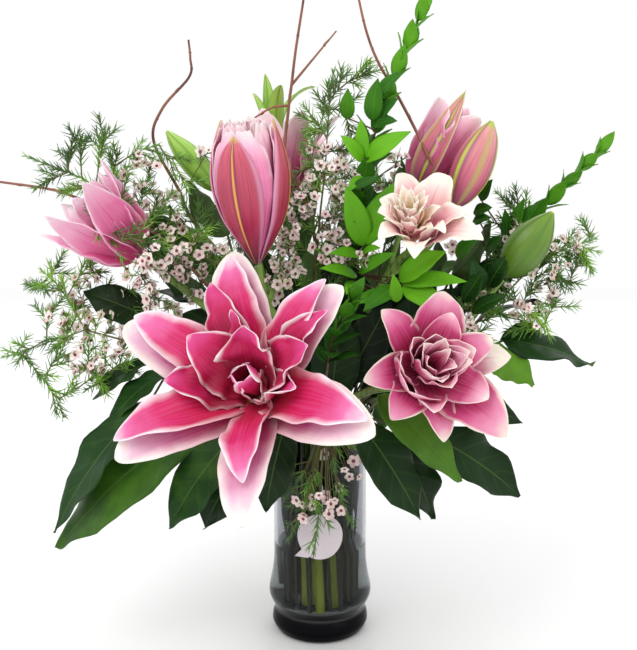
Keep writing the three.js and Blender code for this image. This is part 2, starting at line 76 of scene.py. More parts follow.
def srgb(red, green, blue):
    """A colour given as it looks on a screen, 0 to 255, in the linear values that shaders take."""

    def linear(c):
        return ((c / 255 + 0.055) / 1.055) ** 2.4 if c > 10 else c / 255 / 12.92

    return linear(red), linear(green), linear(blue), 1.0


def new_material(name, **settings):
    """A fresh Principled material: the material, its node tree and the shader's own node."""
    material = bpy.data.materials.new(name)
    material.use_nodes = True
    tree = material.node_tree
    shader = tree.nodes["Principled BSDF"]
    for key, value in settings.items():
        shader.inputs[SETTINGS[key]].default_value = value
    return material, tree, shader


def feed(tree, socket, source):
    """Sets a socket from a number or a colour, or links it to another node's output."""
    if isinstance(source, bpy.types.NodeSocket):
        tree.links.new(source, socket)
    else:
        socket.default_value = source


def maths(tree, operation, *inputs, clamp=False):
    node = tree.nodes.new("ShaderNodeMath")
    node.operation = operation
    node.use_clamp = clamp
    for socket, source in zip(node.inputs, inputs):
        feed(tree, socket, source)
    return node.outputs[0]


def times(tree, first, second):
    return maths(tree, "MULTIPLY", first, second)


def step(tree, value, low, high):
    """Rises smoothly from 0 to 1 as value goes from low to high, or falls where low is the larger."""
    node = tree.nodes.new("ShaderNodeMapRange")
    node.interpolation_type = "SMOOTHSTEP"
    flipped = low > high
    ends = (min(low, high), max(low, high), float(flipped), float(not flipped))
    for socket, source in zip(node.inputs, (value, *ends)):
        feed(tree, socket, source)
    return node.outputs[0]


def mixed(tree, share, first, second, blend="MIX"):
    node = tree.nodes.new("ShaderNodeMix")
    node.data_type = "RGBA"
    node.blend_type = blend
    feed(tree, node.inputs[0], share)
    feed(tree, node.inputs[6], first)
    feed(tree, node.inputs[7], second)
    return node.outputs[2]


def ramp(tree, value, stops):
    """A colour that changes with value through the stops, each (place, colour)."""
    node = tree.nodes.new("ShaderNodeValToRGB")
    elements = node.color_ramp.elements
    while len(elements) < len(stops):
        elements.new(0.5)
    for element, (place, colour) in zip(elements, stops):
        element.position = place
        element.color = colour
    feed(tree, node.inputs[0], value)
    return node.outputs[0]


def texture(tree, kind, scale, stretch=(1, 1, 1), source="Object", **settings):
    """A noise, Voronoi or wave texture on the piece's own coordinates or its UV map."""
    node = tree.nodes.new(f"ShaderNodeTex{kind}")
    for key, value in settings.items():
        if key in node.inputs:
            node.inputs[key].default_value = value
        else:
            setattr(node, key, value)
    mapping = tree.nodes.new("ShaderNodeMapping")
    mapping.inputs["Scale"].default_value = stretch
    tree.links.new(tree.nodes.new("ShaderNodeTexCoord").outputs[source], mapping.inputs["Vector"])
    tree.links.new(mapping.outputs[0], node.inputs["Vector"])
    node.inputs["Scale"].default_value = scale
    return node


def coordinates(tree, source):
    """A point's own x, y and z, on the piece ("Object") or on its UV map ("UV")."""
    node = tree.nodes.new("ShaderNodeSeparateXYZ")
    tree.links.new(tree.nodes.new("ShaderNodeTexCoord").outputs[source], node.inputs[0])
    return node.outputs


def bump(tree, shader, height, strength, distance):
    node = tree.nodes.new("ShaderNodeBump")
    node.inputs["Strength"].default_value = strength
    node.inputs["Distance"].default_value = distance
    tree.links.new(height, node.inputs["Height"])
    tree.links.new(node.outputs[0], shader.inputs["Normal"])


bpy.ops.mesh.primitive_plane_add(size=6, location=(0, 0, 0))
floor = bpy.context.object
floor.name = "table"
floor.data.materials.append(new_material("table_white", colour=srgb(250, 250, 250), roughness=0.6)[0])

bpy.context.scene.view_settings.view_transform = "Standard"
world = bpy.data.worlds.new("studio")
bpy.context.scene.world = world
world.use_nodes = True
backdrop = world.node_tree.nodes["Background"]
backdrop.inputs["Color"].default_value = (1, 1, 1, 1)
backdrop.inputs["Strength"].default_value = 1.0

FLOWERS = Vector((0, 0, 0.3))
for name, place, size, power in (
    ("key", (-1.0, -1.3, 1.9), 1.2, 15),
    ("fill", (1.5, -1.2, 1.1), 1.4, 4),
    ("back", (0.3, 1.5, 1.7), 1.4, 5),
):
    lamp = bpy.data.lights.new(name, "AREA")
    lamp.size = size
    lamp.energy = power
    holder = bpy.data.objects.new(name, lamp)
    holder.location = place
    holder.rotation_euler = (FLOWERS - Vector(place)).to_track_quat("-Z", "Y").to_euler()
    bpy.context.scene.collection.objects.link(holder)

# ---------- Vase ----------
# One piece of blown glass: a heavy foot that looks almost black, a waist, a round bulge, then a straight body
# with a flared, fire-polished mouth. Sizes are in millimetres; each finished piece is scaled to metres.
RIM = 222
BODY = 45
BORE = 42
FLOOR_TOP = 26
WATER = 88


def finish(name, bm, materials, slot, nodes=(), smooth=True):
    """Makes the finished piece, in metres and in its place, from a mesh drawn in millimetres."""
    bmesh.ops.scale(bm, vec=(0.001, 0.001, 0.001), verts=bm.verts)
    mesh = bpy.data.meshes.new(name)
    bm.to_mesh(mesh)
    bm.free()
    for material in materials:
        mesh.materials.append(material)
    mesh.polygons.foreach_set("use_smooth", [smooth] * len(mesh.polygons))
    piece = bpy.data.objects.new(name, mesh)
    bpy.context.scene.collection.objects.link(piece)
    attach(piece, "root")
    if nodes:
        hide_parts(*nodes)
    return piece


def smooth_line(points, per=6):
    """A smooth curve through all the points, with `per` steps from each to the next."""
    points = [Vector(p) for p in points]
    ends = [2 * points[0] - points[1], *points, 2 * points[-1] - points[-2]]
    line = []
    for a, b, c, d in zip(ends, ends[1:], ends[2:], ends[3:]):
        for i in range(per):
            t = i / per
            second, third = 2 * a - 5 * b + 4 * c - d, 3 * b - a - 3 * c + d
            line.append(0.5 * (2 * b + (c - a) * t + second * t * t + third * t**3))
    return [*line, points[-1]]


def lathe(profile, steps=96):
    """A bmesh of a profile of (radius, height), closed on the axis, turned into a solid."""
    bm = bmesh.new()
    verts = [bm.verts.new((radius, 0, height)) for radius, height in profile]
    edges = [bm.edges.new(pair) for pair in zip(verts, verts[1:])]
    bmesh.ops.spin(
        bm, geom=verts + edges, axis=(0, 0, 1), cent=(0, 0, 0), angle=2 * math.pi, steps=steps, use_merge=True
    )
    bmesh.ops.remove_doubles(bm, verts=bm.verts, dist=0.01)
    bmesh.ops.recalc_face_normals(bm, faces=bm.faces)
    return bm


outside = [
    (44, 2), (47, 9), (46, 16), (44, 22), (49, 33), (50, 41), (46.5, 60),
    (BODY, 78), (BODY, 124), (BODY, 170), (47.5, 202), (52, 221),
]
inside = [
    (49, 221.2), (44.5, 202), (BORE, 170), (BORE, 124), (BORE, 78), (43.5, 60), (47, 41), (45, 31),
    (37, FLOOR_TOP),
]
rounded = [(p.x, p.y) for p in smooth_line([(x, z, 0) for x, z in outside], 5)]
hollow = [(p.x, p.y) for p in smooth_line([(x, z, 0) for x, z in inside], 5)]

vase_glass, tree, shader = new_material("vase_glass", roughness=0.01, ior=1.24)
height = coordinates(tree, "Object")[2]
foot = step(tree, height, 0.027, 0.020)
# Painted light: a thin pale green band where the inner floor meets the wall, standing in for light caught at
# the floor's edge.
painted_floor_light = times(tree, step(tree, height, 0.0215, 0.023), step(tree, height, 0.0265, 0.025))
tint = mixed(tree, foot, srgb(188, 190, 194), srgb(3, 3, 6))
tint = mixed(tree, times(tree, painted_floor_light, 0.75), tint, srgb(120, 142, 118))
feed(tree, shader.inputs["Base Color"], tint)
feed(tree, shader.inputs["Transmission Weight"], step(tree, height, 0.016, 0.025))
feed(tree, shader.inputs["Specular IOR Level"], maths(tree, "MULTIPLY_ADD", foot, -0.28, 0.5))
bump(tree, shader, texture(tree, "Noise", 30, stretch=(1, 1, 0.3)).outputs[0], 0.05, 0.001)
solid_glass = [(0, 0), (38, 0), *rounded, (50.7, RIM), *hollow, (0, FLOOR_TOP)]
finish("glass_vase", lathe(solid_glass), [vase_glass], "glass", ["vase"])

# ---------- Water ----------
# Still water around the stems, a third of the way up the vase. It wets the glass, so it meets the wall.
clear_water, tree, shader = new_material(
    "clear_water", colour=srgb(226, 232, 226), roughness=0.0, ior=1.15, transmission=1
)
bump(tree, shader, texture(tree, "Noise", 25).outputs[0], 0.04, 0.001)
WETTING = 0.15
wetted = [(radius + WETTING, z) for radius, z in reversed(hollow) if z < WATER]
filled = [(0, FLOOR_TOP - WETTING), *wetted, (BORE + WETTING, WATER), (0, WATER)]
finish("water_fill", lathe(filled), [clear_water], "water", ["water"])

# ---------- Label ----------
# A round paper sticker with a short pointed tail, blank, pressed on the front of the glass.
LABEL_HEIGHT = 108
LABEL_RADIUS = 22
LABEL_BEND = BODY + 0.5
label_paper, tree, shader = new_material("label_paper", roughness=0.65)
fibres = texture(tree, "Noise", 900, Detail=6)
feed(
    tree,
    shader.inputs["Base Color"],
    mixed(tree, fibres.outputs[0], srgb(198, 188, 194), srgb(220, 211, 216)),
)
bump(tree, shader, fibres.outputs[0], 0.2, 0.0002)

bm = bmesh.new()
bmesh.ops.create_circle(bm, cap_ends=True, segments=64, radius=LABEL_RADIUS)
tail_place = Matrix.Translation((-15.5, -16, 0)) @ Matrix.Rotation(math.radians(227), 4, "Z")
tail_place = tail_place @ Matrix.Scale(1.7, 4, (1, 0, 0))
bmesh.ops.create_circle(bm, cap_ends=True, segments=3, radius=7, matrix=tail_place)
bmesh.ops.solidify(bm, geom=bm.faces[:], thickness=0.3)
bmesh.ops.triangulate(bm, faces=[face for face in bm.faces if len(face.verts) > 4])
bmesh.ops.subdivide_edges(bm, edges=bm.edges[:], cuts=3, use_grid_fill=True)
for vert in bm.verts:
    across, up, out = vert.co
    radius = LABEL_BEND + out
    turn = across / LABEL_BEND
    vert.co = (radius * math.sin(turn), -radius * math.cos(turn), LABEL_HEIGHT + up)
finish("paper_label", bm, [label_paper], "paper", ["label"], smooth=False)

# ---------- Lily stems ----------
# Fleshy round green stems, thicker at the foot, that cross a little in the water. The tall, pale and right
# stems fork near the top into short stalks, one to each flower or bud.
SEAT = {"front": (-1, -3), "tall": (-1, -1), "right": (2, -2), "pale": (2, 0), "left": (-3, -1)}
DRAWN_IN = 0.78
TWIST = math.radians(10)


def above(seat, offset):
    """A point measured from where the stem of that seat leaves the mouth of the vase."""
    return Vector((seat[0] * 6 + offset[0], seat[1] * 10.5 - 4.5 + offset[1], RIM + offset[2]))


def stem_line(seat, route, per=8):
    foot = DRAWN_IN * above(seat, (0, 0, 0))
    turned = Matrix.Rotation(TWIST, 3, "Z") @ foot
    path = [(turned.x, turned.y, FLOOR_TOP + 2), (foot.x, foot.y, 150), above(seat, (0, 0, -4))]
    return smooth_line([*path, *(above(seat, offset) for offset in route)], per)


def add_rods(bm, lines, sides=4):
    """Adds round rods, each given as its points and its radius at the foot and at the tip."""
    curve = bpy.data.curves.new("rods", "CURVE")
    curve.dimensions = "3D"
    curve.bevel_depth = 1
    curve.bevel_resolution = max(0, sides // 2 - 2)
    curve.use_fill_caps = True
    for points, foot, tip in lines:
        spline = curve.splines.new("POLY")
        spline.points.add(len(points) - 1)
        for i, (point, place) in enumerate(zip(spline.points, points)):
            point.co = (*place, 1)
            point.radius = foot + (tip - foot) * i / (len(points) - 1)
    holder = bpy.data.objects.new("rods", curve)
    mesh = bpy.data.meshes.new_from_object(holder)
    bm.from_mesh(mesh)
    bpy.data.objects.remove(holder)
    bpy.data.curves.remove(curve)
    bpy.data.meshes.remove(mesh)


def finish_rods(name, rods, sides, material, slot, nodes=()):
    bm = bmesh.new()
    add_rods(bm, rods, sides)
    finish(name, bm, [material], slot, nodes)


stem_green, tree, shader = new_material("stem_green", roughness=0.42)
speckle = texture(tree, "Noise", 260, stretch=(1, 1, 0.15), Detail=4)
patches = texture(tree, "Noise", 22, Detail=2)
height = coordinates(tree, "Object")[2]
green = ramp(
    tree, patches.outputs[0], [(0.3, srgb(96, 124, 48)), (0.5, srgb(122, 156, 62)), (0.7, srgb(104, 116, 58))]
)
green = mixed(tree, step(tree, speckle.outputs[0], 0.52, 0.66), green, srgb(70, 92, 42))
bleached = mixed(tree, step(tree, speckle.outputs[0], 0.5, 0.72), srgb(222, 244, 62), srgb(176, 184, 48))
feed(tree, shader.inputs["Base Color"], mixed(tree, step(tree, height, 0.13, 0.06), green, bleached))
bump(tree, shader, speckle.outputs[0], 0.25, 0.0006)

ROUTES = {
    "front": ([(-13, -22, 13), (-28, -62, 19), (-38, -85, 36)], []),
    "right": ([(28, -22, 24), (54, -40, 34), (75, -52, 48)], [[(50, -38, 32), (108, -4, 68), (156, 6, 124)]]),
    "pale": (
        [(24, -10, 78), (54, -22, 135), (74, -38, 156)],
        [[(50, -20, 128), (60, -2, 158), (80, 14, 207)], [(50, -20, 128), (82, -12, 147), (108, -16, 186)]],
    ),
    "left": ([(-48, -5, 63), (-102, -13, 113), (-142, -15, 145)], []),
    "tall": (
        [(-20, -15, 68), (-42, -37, 108), (-48, -45, 140)],
        [
            [(-40, -35, 104), (-54, 15, 148), (-89, 35, 205)],
            [(-40, -35, 104), (-28, 30, 158), (-29, 57, 229)],
        ],
    ),
}
for key, (route, stalks) in ROUTES.items():
    rods = [(stem_line(SEAT[key], route), 4.2, 3.4)]
    rods += [(smooth_line([above(SEAT[key], offset) for offset in stalk], 8), 2.7, 2.3) for stalk in stalks]
    finish_rods(f"stem_{key}", rods, 10, stem_green, "stem", [f"lily_stem_{key}"])

# ---------- Lily petals ----------
# Thick velvety petals, each with a grooved midrib. They are deep pink in the throat, paler outwards and white
# at the edge, and the under side is paler, with a green-tinged rib.


def outline(s, root, tip, least=0.03):
    """Half-width of a petal or leaf as a share of its widest, s of the way from root to tip."""
    peak = root / (root + tip)
    return max(least, (s**root * (1 - s) ** tip) / (peak**root * (1 - peak) ** tip))


def bent_grid(bm, along, across, tone, place):
    """Adds a grid whose vertices place(s, t) puts: s from root to tip, t from -1 to 1 across."""
    layer = bm.verts.layers.float.get("tone") or bm.verts.layers.float.new("tone")
    bm.loops.layers.uv.verify()
    for vert in bmesh.ops.create_grid(
        bm, x_segments=across, y_segments=along, size=0.5, calc_uvs=True
    )["verts"]:
        s = vert.co.y + 0.5
        s += 0.5 * (0.5 - 0.5 * math.cos(math.pi * s) - s)
        vert.co = place(min(max(s, 0.0), 1.0), vert.co.x * 2)
        vert[layer] = tone


def bezier(points, s):
    """The place and the direction, each as (radius, height), at s along a curve of four control points."""
    a, b, c, d = (Vector(p) for p in points)
    r = 1 - s
    place = r**3 * a + 3 * r * r * s * b + 3 * r * s * s * c + s**3 * d
    return place, (r * r * (b - a) + 2 * r * s * (c - b) + s * s * (d - c)).normalized()


def add_petal(
    bm, flower, angle, line, width, cup=0.1, ruffle=0.0, root=0.8, tip=0.5, tone=0.5, sway=0.0, grid=(20, 10)
):
    """One petal of a flower: line is its midrib as (radius, height) points, sway bends it sideways."""
    seed = Vector((angle * 0.37, width, len(bm.verts) * 0.01))
    turn = flower @ Matrix.Rotation(math.radians(angle), 4, "Z")

    def place(s, t):
        (radius, height), (out, up) = bezier(line, s)
        half = width / 2 * outline(s, root, tip)
        crimp = noise.noise(
            seed + Vector((s * 7, t * 1.2, 0))
        ) * ruffle * abs(t) ** 1.6 * min(1, 4 * s, 5 * (1 - s))
        half *= 1 + 0.10 * ruffle / 4 * noise.noise(seed + Vector((9, s * 9, t)))
        groove = -0.9 * math.exp(-((t / 0.10) ** 2)) * min(1, 6 * s) * (1 - s)
        lift = cup * half * t * t + crimp * 2 + groove
        return turn @ Vector((radius - up * lift, -half * t + sway * s * s, height + out * lift))

    bent_grid(bm, *grid, tone, place)


def flower_frame(seat, offset, axis):
    """Where a flower sits: its own z runs out along its axis and its own x to the right."""
    z = Vector(axis).normalized()
    x = Vector((0, 0, 1)).cross(z).normalized()
    return Matrix.Translation(above(seat, offset)) @ Matrix((x, z.cross(x), z)).transposed().to_4x4()


def thicken(piece, thickness):
    """Gives a piece drawn as a sheet its thickness; the under side takes the piece's second material."""
    shell = piece.modifiers.new("thickness", "SOLIDIFY")
    shell.thickness = thickness
    shell.offset = -1
    shell.material_offset = 1
    shell.use_rim = True
    return piece


def petal_coordinates(tree):
    """How far a point is from the midrib, from 0 to 1, and how far it is along from root to tip."""
    across, along, _ = coordinates(tree, "UV")
    return maths(tree, "ABSOLUTE", maths(tree, "MULTIPLY_ADD", across, 2, -1)), along


def tone_of(tree):
    """The tone that bent_grid gave each petal or leaf."""
    node = tree.nodes.new("ShaderNodeAttribute")
    node.attribute_name = "tone"
    return node.outputs["Fac"]


def petal_material(name, colours, edge_from, spots=False):
    """A petal's look: colours are its throat, deep, middle, pale and edge, as they look on a screen."""
    throat, deep, middle, pale, edge = (srgb(*colour) for colour in colours)
    material, tree, shader = new_material(
        name, roughness=0.5, specular=0.3, sheen=0.05, sheen_roughness=0.4, subsurface=0.12,
        subsurface_scale=0.002,
    )
    off_centre, along = petal_coordinates(tree)
    wobble = texture(tree, "Noise", 45, Detail=2)
    drift = times(tree, maths(tree, "SUBTRACT", wobble.outputs[0], 0.5), 0.22)
    drifted = maths(tree, "ADD", along, drift)
    veins = texture(tree, "Noise", 1, stretch=(46, 2.2, 1), source="UV", Detail=3)
    shade = maths(tree, "ADD", drifted, times(tree, maths(tree, "SUBTRACT", tone_of(tree), 0.5), 0.5))
    stops = [(0.0, throat), (0.10, deep), (0.38, deep), (0.62, middle), (0.82, pale), (0.97, edge)]
    body = ramp(tree, shade, stops)
    body = mixed(tree, times(tree, step(tree, veins.outputs[0], 0.42, 0.62), 0.18), body, pale)
    rib = times(tree, step(tree, off_centre, 0.09, 0.02), step(tree, along, 0.85, 0.5))
    body = mixed(tree, times(tree, rib, 0.55), body, deep)
    margin = step(tree, maths(tree, "ADD", off_centre, times(tree, drift, 1.4)), edge_from, 1.02)
    rim = times(tree, margin, maths(tree, "MULTIPLY_ADD", step(tree, drifted, 0.4, 0.85), 0.6, 0.35))
    rim = maths(tree, "MAXIMUM", rim, times(tree, step(tree, off_centre, 0.93, 0.99), 0.45))
    rim = times(tree, rim, step(tree, drifted, 0.08, 0.34))
    body = mixed(tree, rim, body, edge)
    if spots:
        dots = texture(tree, "Voronoi", 1, stretch=(26, 52, 1), source="UV", Randomness=0.9)
        where = times(tree, step(tree, along, 0.46, 0.3), step(tree, off_centre, 0.8, 0.55))
        dot = times(tree, step(tree, dots.outputs["Distance"], 0.26, 0.16), where)
        body = mixed(tree, times(tree, dot, 0.7), body, srgb(140, 10, 52))
    feed(tree, shader.inputs["Base Color"], body)
    bump(tree, shader, veins.outputs[0], 0.35, 0.0007)
    return material


# Thicknesses in metres, of the petals and, further on, of the sepals and leaves.
PETAL = 0.0006
HEART_PETAL = 0.0005
WHITE_EDGE = (250, 240, 244)

# ---------- Front lily ----------
# The largest flower, wide open: six broad outer petals with a ruffled one lying over each, and a crown of
# small crumpled petals round the open throat.
front = flower_frame(SEAT["front"], (-39.5, -88, 38.5), (-0.34, -0.73, 0.56))
hot_pink = petal_material(
    "hot_pink", ((176, 140, 40), (192, 0, 58), (206, 22, 98), (228, 112, 170), WHITE_EDGE), 0.6, True
)
# The crown's pink is a darker copy of the petals' hot pink: partly the crown's deeper colour, partly painted
# shade inside the flower.
crown_pink_painted_shade = petal_material(
    "crown_pink_painted_shade", ((170, 140, 20), (146, 0, 40), (186, 6, 78), (214, 70, 138), WHITE_EDGE), 0.8, True
)
mauve = petal_material(
    "mauve_pink", ((190, 150, 70), (186, 30, 92), (198, 92, 146), (230, 184, 206), (248, 242, 232)), 0.46
)
petal_back = petal_material(
    "petal_back", ((176, 190, 100), (196, 84, 130), (214, 130, 168), (236, 200, 216), (246, 240, 234)), 0.5
)

# Each outer petal: its angle, reach and width, then how much shorter its inner petal is and how far it turns.
FRONT_PETALS = [
    (112.2, 125, 50, 0.93, 1), (56.7, 106, 46, 0.95, 5), (342.5, 121, 54, 0.94, 5),
    (286.6, 119, 44, 0.74, 1), (218.2, 124, 52, 0.95, -4), (165.8, 138, 50, 0.93, -6),
]
bm = bmesh.new()
for i, (angle, reach, width, _, _) in enumerate(FRONT_PETALS):
    line = [(5, -1 + (i % 2) * 1.5), (26, 8), (0.56 * reach, 46), (reach, 36)]
    add_petal(
        bm, front, angle, line, width, cup=0.16, ruffle=2, root=0.8, tip=0.62, tone=0.5, sway=(-1) ** i * 3,
        grid=(30, 14),
    )
outer_nodes = [f"front_lily_{kind}_{i}" for kind in ("sepal", "petal") for i in (1, 2, 3)]
thicken(finish("front_lily_outer", bm, [mauve, petal_back], "pink_petal", outer_nodes), PETAL)

bm = bmesh.new()
for i, (angle, reach, width, share, turn) in enumerate(FRONT_PETALS):
    reach *= share
    line = [(4, 3), (22, 15), (0.54 * reach, 56), (reach, 43)]
    add_petal(
        bm, front, angle + turn, line, width * 0.82, cup=0.24, ruffle=4.6, root=0.8, tip=0.78, tone=0.42,
        grid=(38, 18),
    )
inner_nodes = [f"front_lily_inner{kind}_{i}" for kind in ("", "_low") for i in (1, 2, 3)]
thicken(finish("front_lily_inner", bm, [hot_pink, petal_back], "pink_petal", inner_nodes), PETAL)

bm = bmesh.new()
FRONT_CROWN = [
    (124, [(4, 5), (22, 18), (48, 56), (92, 50)], 34, 0.20),
    (46, [(4, 5), (22, 18), (44, 54), (84, 46)], 30, 0.24),
    (192, [(3, 6), (20, 20), (40, 44), (66, 50)], 40, 0.24),
    (156, [(3, 7), (14, 24), (28, 52), (56, 58)], 48, 0.26),
    (86, [(3, 8), (12, 22), (19, 46), (32, 66)], 50, 0.32),
    (24, [(3, 7), (16, 22), (30, 48), (60, 56)], 48, 0.28),
    (112, [(3, 8), (18, 22), (34, 48), (54, 56)], 20, 0.20),
    (352, [(3, 7), (14, 20), (28, 40), (50, 46)], 30, 0.34),
]
# The crown's low tones, 0.30 and 0.22, darken it further: partly its deeper colour, partly painted shade
# inside the flower.
for angle, line, width, cup in FRONT_CROWN:
    add_petal(bm, front, angle, line, width, cup=cup, ruffle=7, root=0.75, tip=0.85, tone=0.30, grid=(30, 18))
for turn, width in ((70, 34), (190, 30), (310, 26)):
    line = [(2, 8), (9, 18), (12, 34), (8, 47)]
    add_petal(bm, front, turn, line, width, cup=0.75, ruffle=4, root=0.6, tip=0.45, tone=0.22, grid=(20, 14))
thicken(
    finish("front_lily_crown", bm, [crown_pink_painted_shade, hot_pink], "pink_petal", ["front_lily_heart"]), HEART_PETAL
)

# ---------- Right lily ----------
# Half open and duskier: pointed petals of uneven length, one broad cup at the lower left and a tight rosette.
right = flower_frame(SEAT["right"], (76, -56, 50), (0.15, -0.9, 0.38))
CREAM_TIP = (240, 232, 216)
dusky = petal_material(
    "dusky_pink", ((120, 8, 50), (176, 16, 80), (202, 66, 126), (226, 148, 178), CREAM_TIP), 0.84
)
dusky_back = petal_material(
    "dusky_back", ((150, 90, 90), (170, 50, 96), (204, 118, 150), (232, 204, 196), (238, 236, 208)), 0.7
)
rosette_pink = petal_material(
    "rosette_pink", ((130, 10, 56), (172, 24, 84), (206, 78, 132), (238, 172, 194), (250, 232, 226)), 0.86
)

bm = bmesh.new()
RIGHT_PETALS = [
    (72, 66, 30, 48, 0.50), (131, 62, 30, 32, 0.42), (188, 60, 32, 34, 0.44), (232, 58, 30, 38, 0.36),
    (272, 64, 28, 30, 0.46), (314, 84, 36, 50, 0.50), (17, 58, 34, 32, 0.52), (8, 74, 22, 32, 0.95),
]
for i, (angle, reach, height, width, tone) in enumerate(RIGHT_PETALS):
    line = [(4.5, -1 + (i % 2) * 1.6), (20, 8), (0.56 * reach, height + 14), (reach, height)]
    add_petal(
        bm, right, angle, line, width, cup=0.3, ruffle=2.4, root=0.75, tip=0.78, tone=tone,
        sway=3 * (-1) ** i, grid=(26, 12),
    )
right_nodes = [f"right_lily_{kind}_{i}" for kind in ("sepal", "petal") for i in (1, 2, 3)]
thicken(finish("right_lily_outer", bm, [dusky, dusky_back], "pink_petal", right_nodes), PETAL)

bm = bmesh.new()
RIGHT_CROWN = [
    (66, [(3, 4), (16, 16), (30, 44), (45, 44)], 32, 0.30, 0.50),
    (322, [(3, 4), (18, 16), (34, 46), (52, 46)], 38, 0.34, 0.52),
    (222, [(3, 4), (22, 12), (36, 40), (38, 58)], 54, 0.55, 0.42),
    (258, [(3, 4), (20, 14), (34, 42), (44, 56)], 30, 0.50, 0.56),
    (186, [(3, 4), (20, 14), (32, 40), (34, 60)], 30, 0.50, 0.50),
    (140, [(2, 6), (16, 20), (24, 44), (27, 58)], 22, 0.60, 0.60),
    (96, [(2, 6), (14, 20), (20, 44), (20, 58)], 34, 0.70, 0.50),
    (12, [(2, 6), (12, 22), (20, 46), (30, 60)], 34, 0.45, 0.66),
    (350, [(2, 8), (10, 24), (16, 46), (25, 62)], 24, 0.50, 0.74),
    (284, [(2, 8), (12, 22), (18, 46), (25, 60)], 32, 0.60, 0.62),
    (236, [(2, 8), (12, 22), (18, 46), (18, 62)], 32, 0.70, 0.60),
]
for angle, line, width, cup, tone in RIGHT_CROWN:
    add_petal(
        bm, right, angle, line, width, cup=0.8 * cup, ruffle=3, root=0.75, tip=0.8, tone=tone - 0.05,
        grid=(24, 14),
    )
ROSETTE_CENTRE = [
    (10, 20, 24), (75, 12, 20), (140, 14, 22), (205, 10, 20), (265, 16, 24), (325, 10, 18), (40, 6, 14),
]
for angle, reach, width in ROSETTE_CENTRE:
    line = [(1.5, 12), (0.8 * reach, 28), (0.8 * reach, 50), (reach + 4, 62)]
    add_petal(bm, right, angle, line, width, cup=0.5, ruffle=2, root=0.7, tip=0.85, tone=0.66, grid=(18, 12))
thicken(
    finish("right_lily_rosette", bm, [rosette_pink, rosette_pink], "pink_petal", ["right_lily_heart"]),
    HEART_PETAL,
)

# ---------- Pale lily ----------
# Above it, a small lily that is just opening: cream and blush pointed petals with a buttery heart.
pale = flower_frame(SEAT["pale"], (75, -41, 159), (-0.1, -0.7, 0.7))
blush = petal_material(
    "blush", ((240, 206, 150), (222, 134, 152), (244, 192, 194), (252, 234, 224), (250, 248, 230)), 0.5
)
blush_back = petal_material(
    "blush_back", ((178, 196, 96), (216, 150, 160), (238, 204, 204), (246, 236, 222), (236, 244, 200)), 0.55
)
butter = petal_material(
    "butter", ((240, 208, 110), (248, 214, 150), (250, 226, 196), (252, 238, 222), (255, 250, 240)), 0.6
)
bm = bmesh.new()
PALE_PETALS = [
    (107, 54, 36, 26, 0.40), (65, 54, 36, 36, 0.62), (2, 42, 34, 26, 0.36), (339, 60, 32, 32, 0.50),
    (308, 36, 44, 18, 0.85), (271, 45, 32, 24, 0.90), (218, 42, 36, 24, 0.70), (184, 34, 40, 26, 0.50),
    (145, 40, 34, 24, 0.55),
]
for i, (angle, reach, height, width, tone) in enumerate(PALE_PETALS):
    line = [(4.5, -1 + (i % 2)), (14, 14), (0.56 * reach, height + 12), (reach, height)]
    add_petal(
        bm, pale, angle, line, width, cup=0.3, ruffle=2.2, root=0.75, tip=0.8, tone=tone, sway=2 * (-1) ** i,
        grid=(22, 10),
    )
pale_nodes = [f"pale_lily_{kind}_{i}" for kind in ("sepal", "petal") for i in (1, 2, 3)]
thicken(finish("pale_lily_outer", bm, [blush, blush_back], "pale_petal", pale_nodes), PETAL)
heart = flower_frame(SEAT["pale"], (69, -41, 160), (-0.1, -0.7, 0.7))
bm = bmesh.new()
PALE_RINGS = [(7, 25, 44, 15, 4), (6, 17, 50, 12, 30), (6, 9, 52, 10, 50)]
for ring, (count, reach, height, width, turn) in enumerate(PALE_RINGS):
    for i in range(count):
        out = reach * (1, 0.8, 1.15, 0.9)[i % 4]
        line = [
            (2, 8 + 3 * ring), (0.4 * out, 20 + 5 * ring), (0.6 * out, height - 6),
            (out, height + 4 * (i % 2)),
        ]
        add_petal(
            bm, heart, turn + 360 * i / count, line, width, cup=0.4, ruffle=2.6, root=0.7, tip=0.95, tone=0.5,
            grid=(14, 8),
        )
thicken(finish("pale_lily_heart_petals", bm, [butter, blush], "pale_petal", ["pale_lily_heart"]), HEART_PETAL)

# ---------- Buds ----------
# A closed bud is three sepals round a fold of petals; each sepal has a strong rib that stays green or
# turns orange as the bud colours.


def add_sepal(bm, flower, angle, profile, spread, tone=0.5, taper=0.0, ridge=1.0, ruffle=0.0, grid=(20, 10)):
    """A sepal wrapped round the axis: profile is (radius, height) points, spread its half-angle."""
    turn = flower @ Matrix.Rotation(math.radians(angle), 4, "Z")
    line = smooth_line([(radius, height, 0) for radius, height in profile], 8)
    seed = Vector((angle, spread, profile[-1][1]))

    def place(s, t):
        spot = s * (len(line) - 1)
        low = min(int(spot), len(line) - 2)
        point = line[low].lerp(line[low + 1], spot - low)
        narrow = 1 - taper * max(0.0, (s - 0.45) / 0.55) ** 2.2
        around = math.radians(spread) * t * narrow
        rib = ridge * (math.exp(-((t / 0.1) ** 2)) - 1.1 * abs(t) ** 6)
        wave = ruffle * noise.noise(seed + Vector((t * 4, s * 6, 0))) * max(0.0, 2 * s - 1)
        radius = max(0.2, point.x + rib * min(1, 5 * s, 5 * (1 - s)) + wave)
        return turn @ Vector((radius * math.cos(around), radius * math.sin(around), point.y + 2 * wave))

    bent_grid(bm, *grid, tone, place)


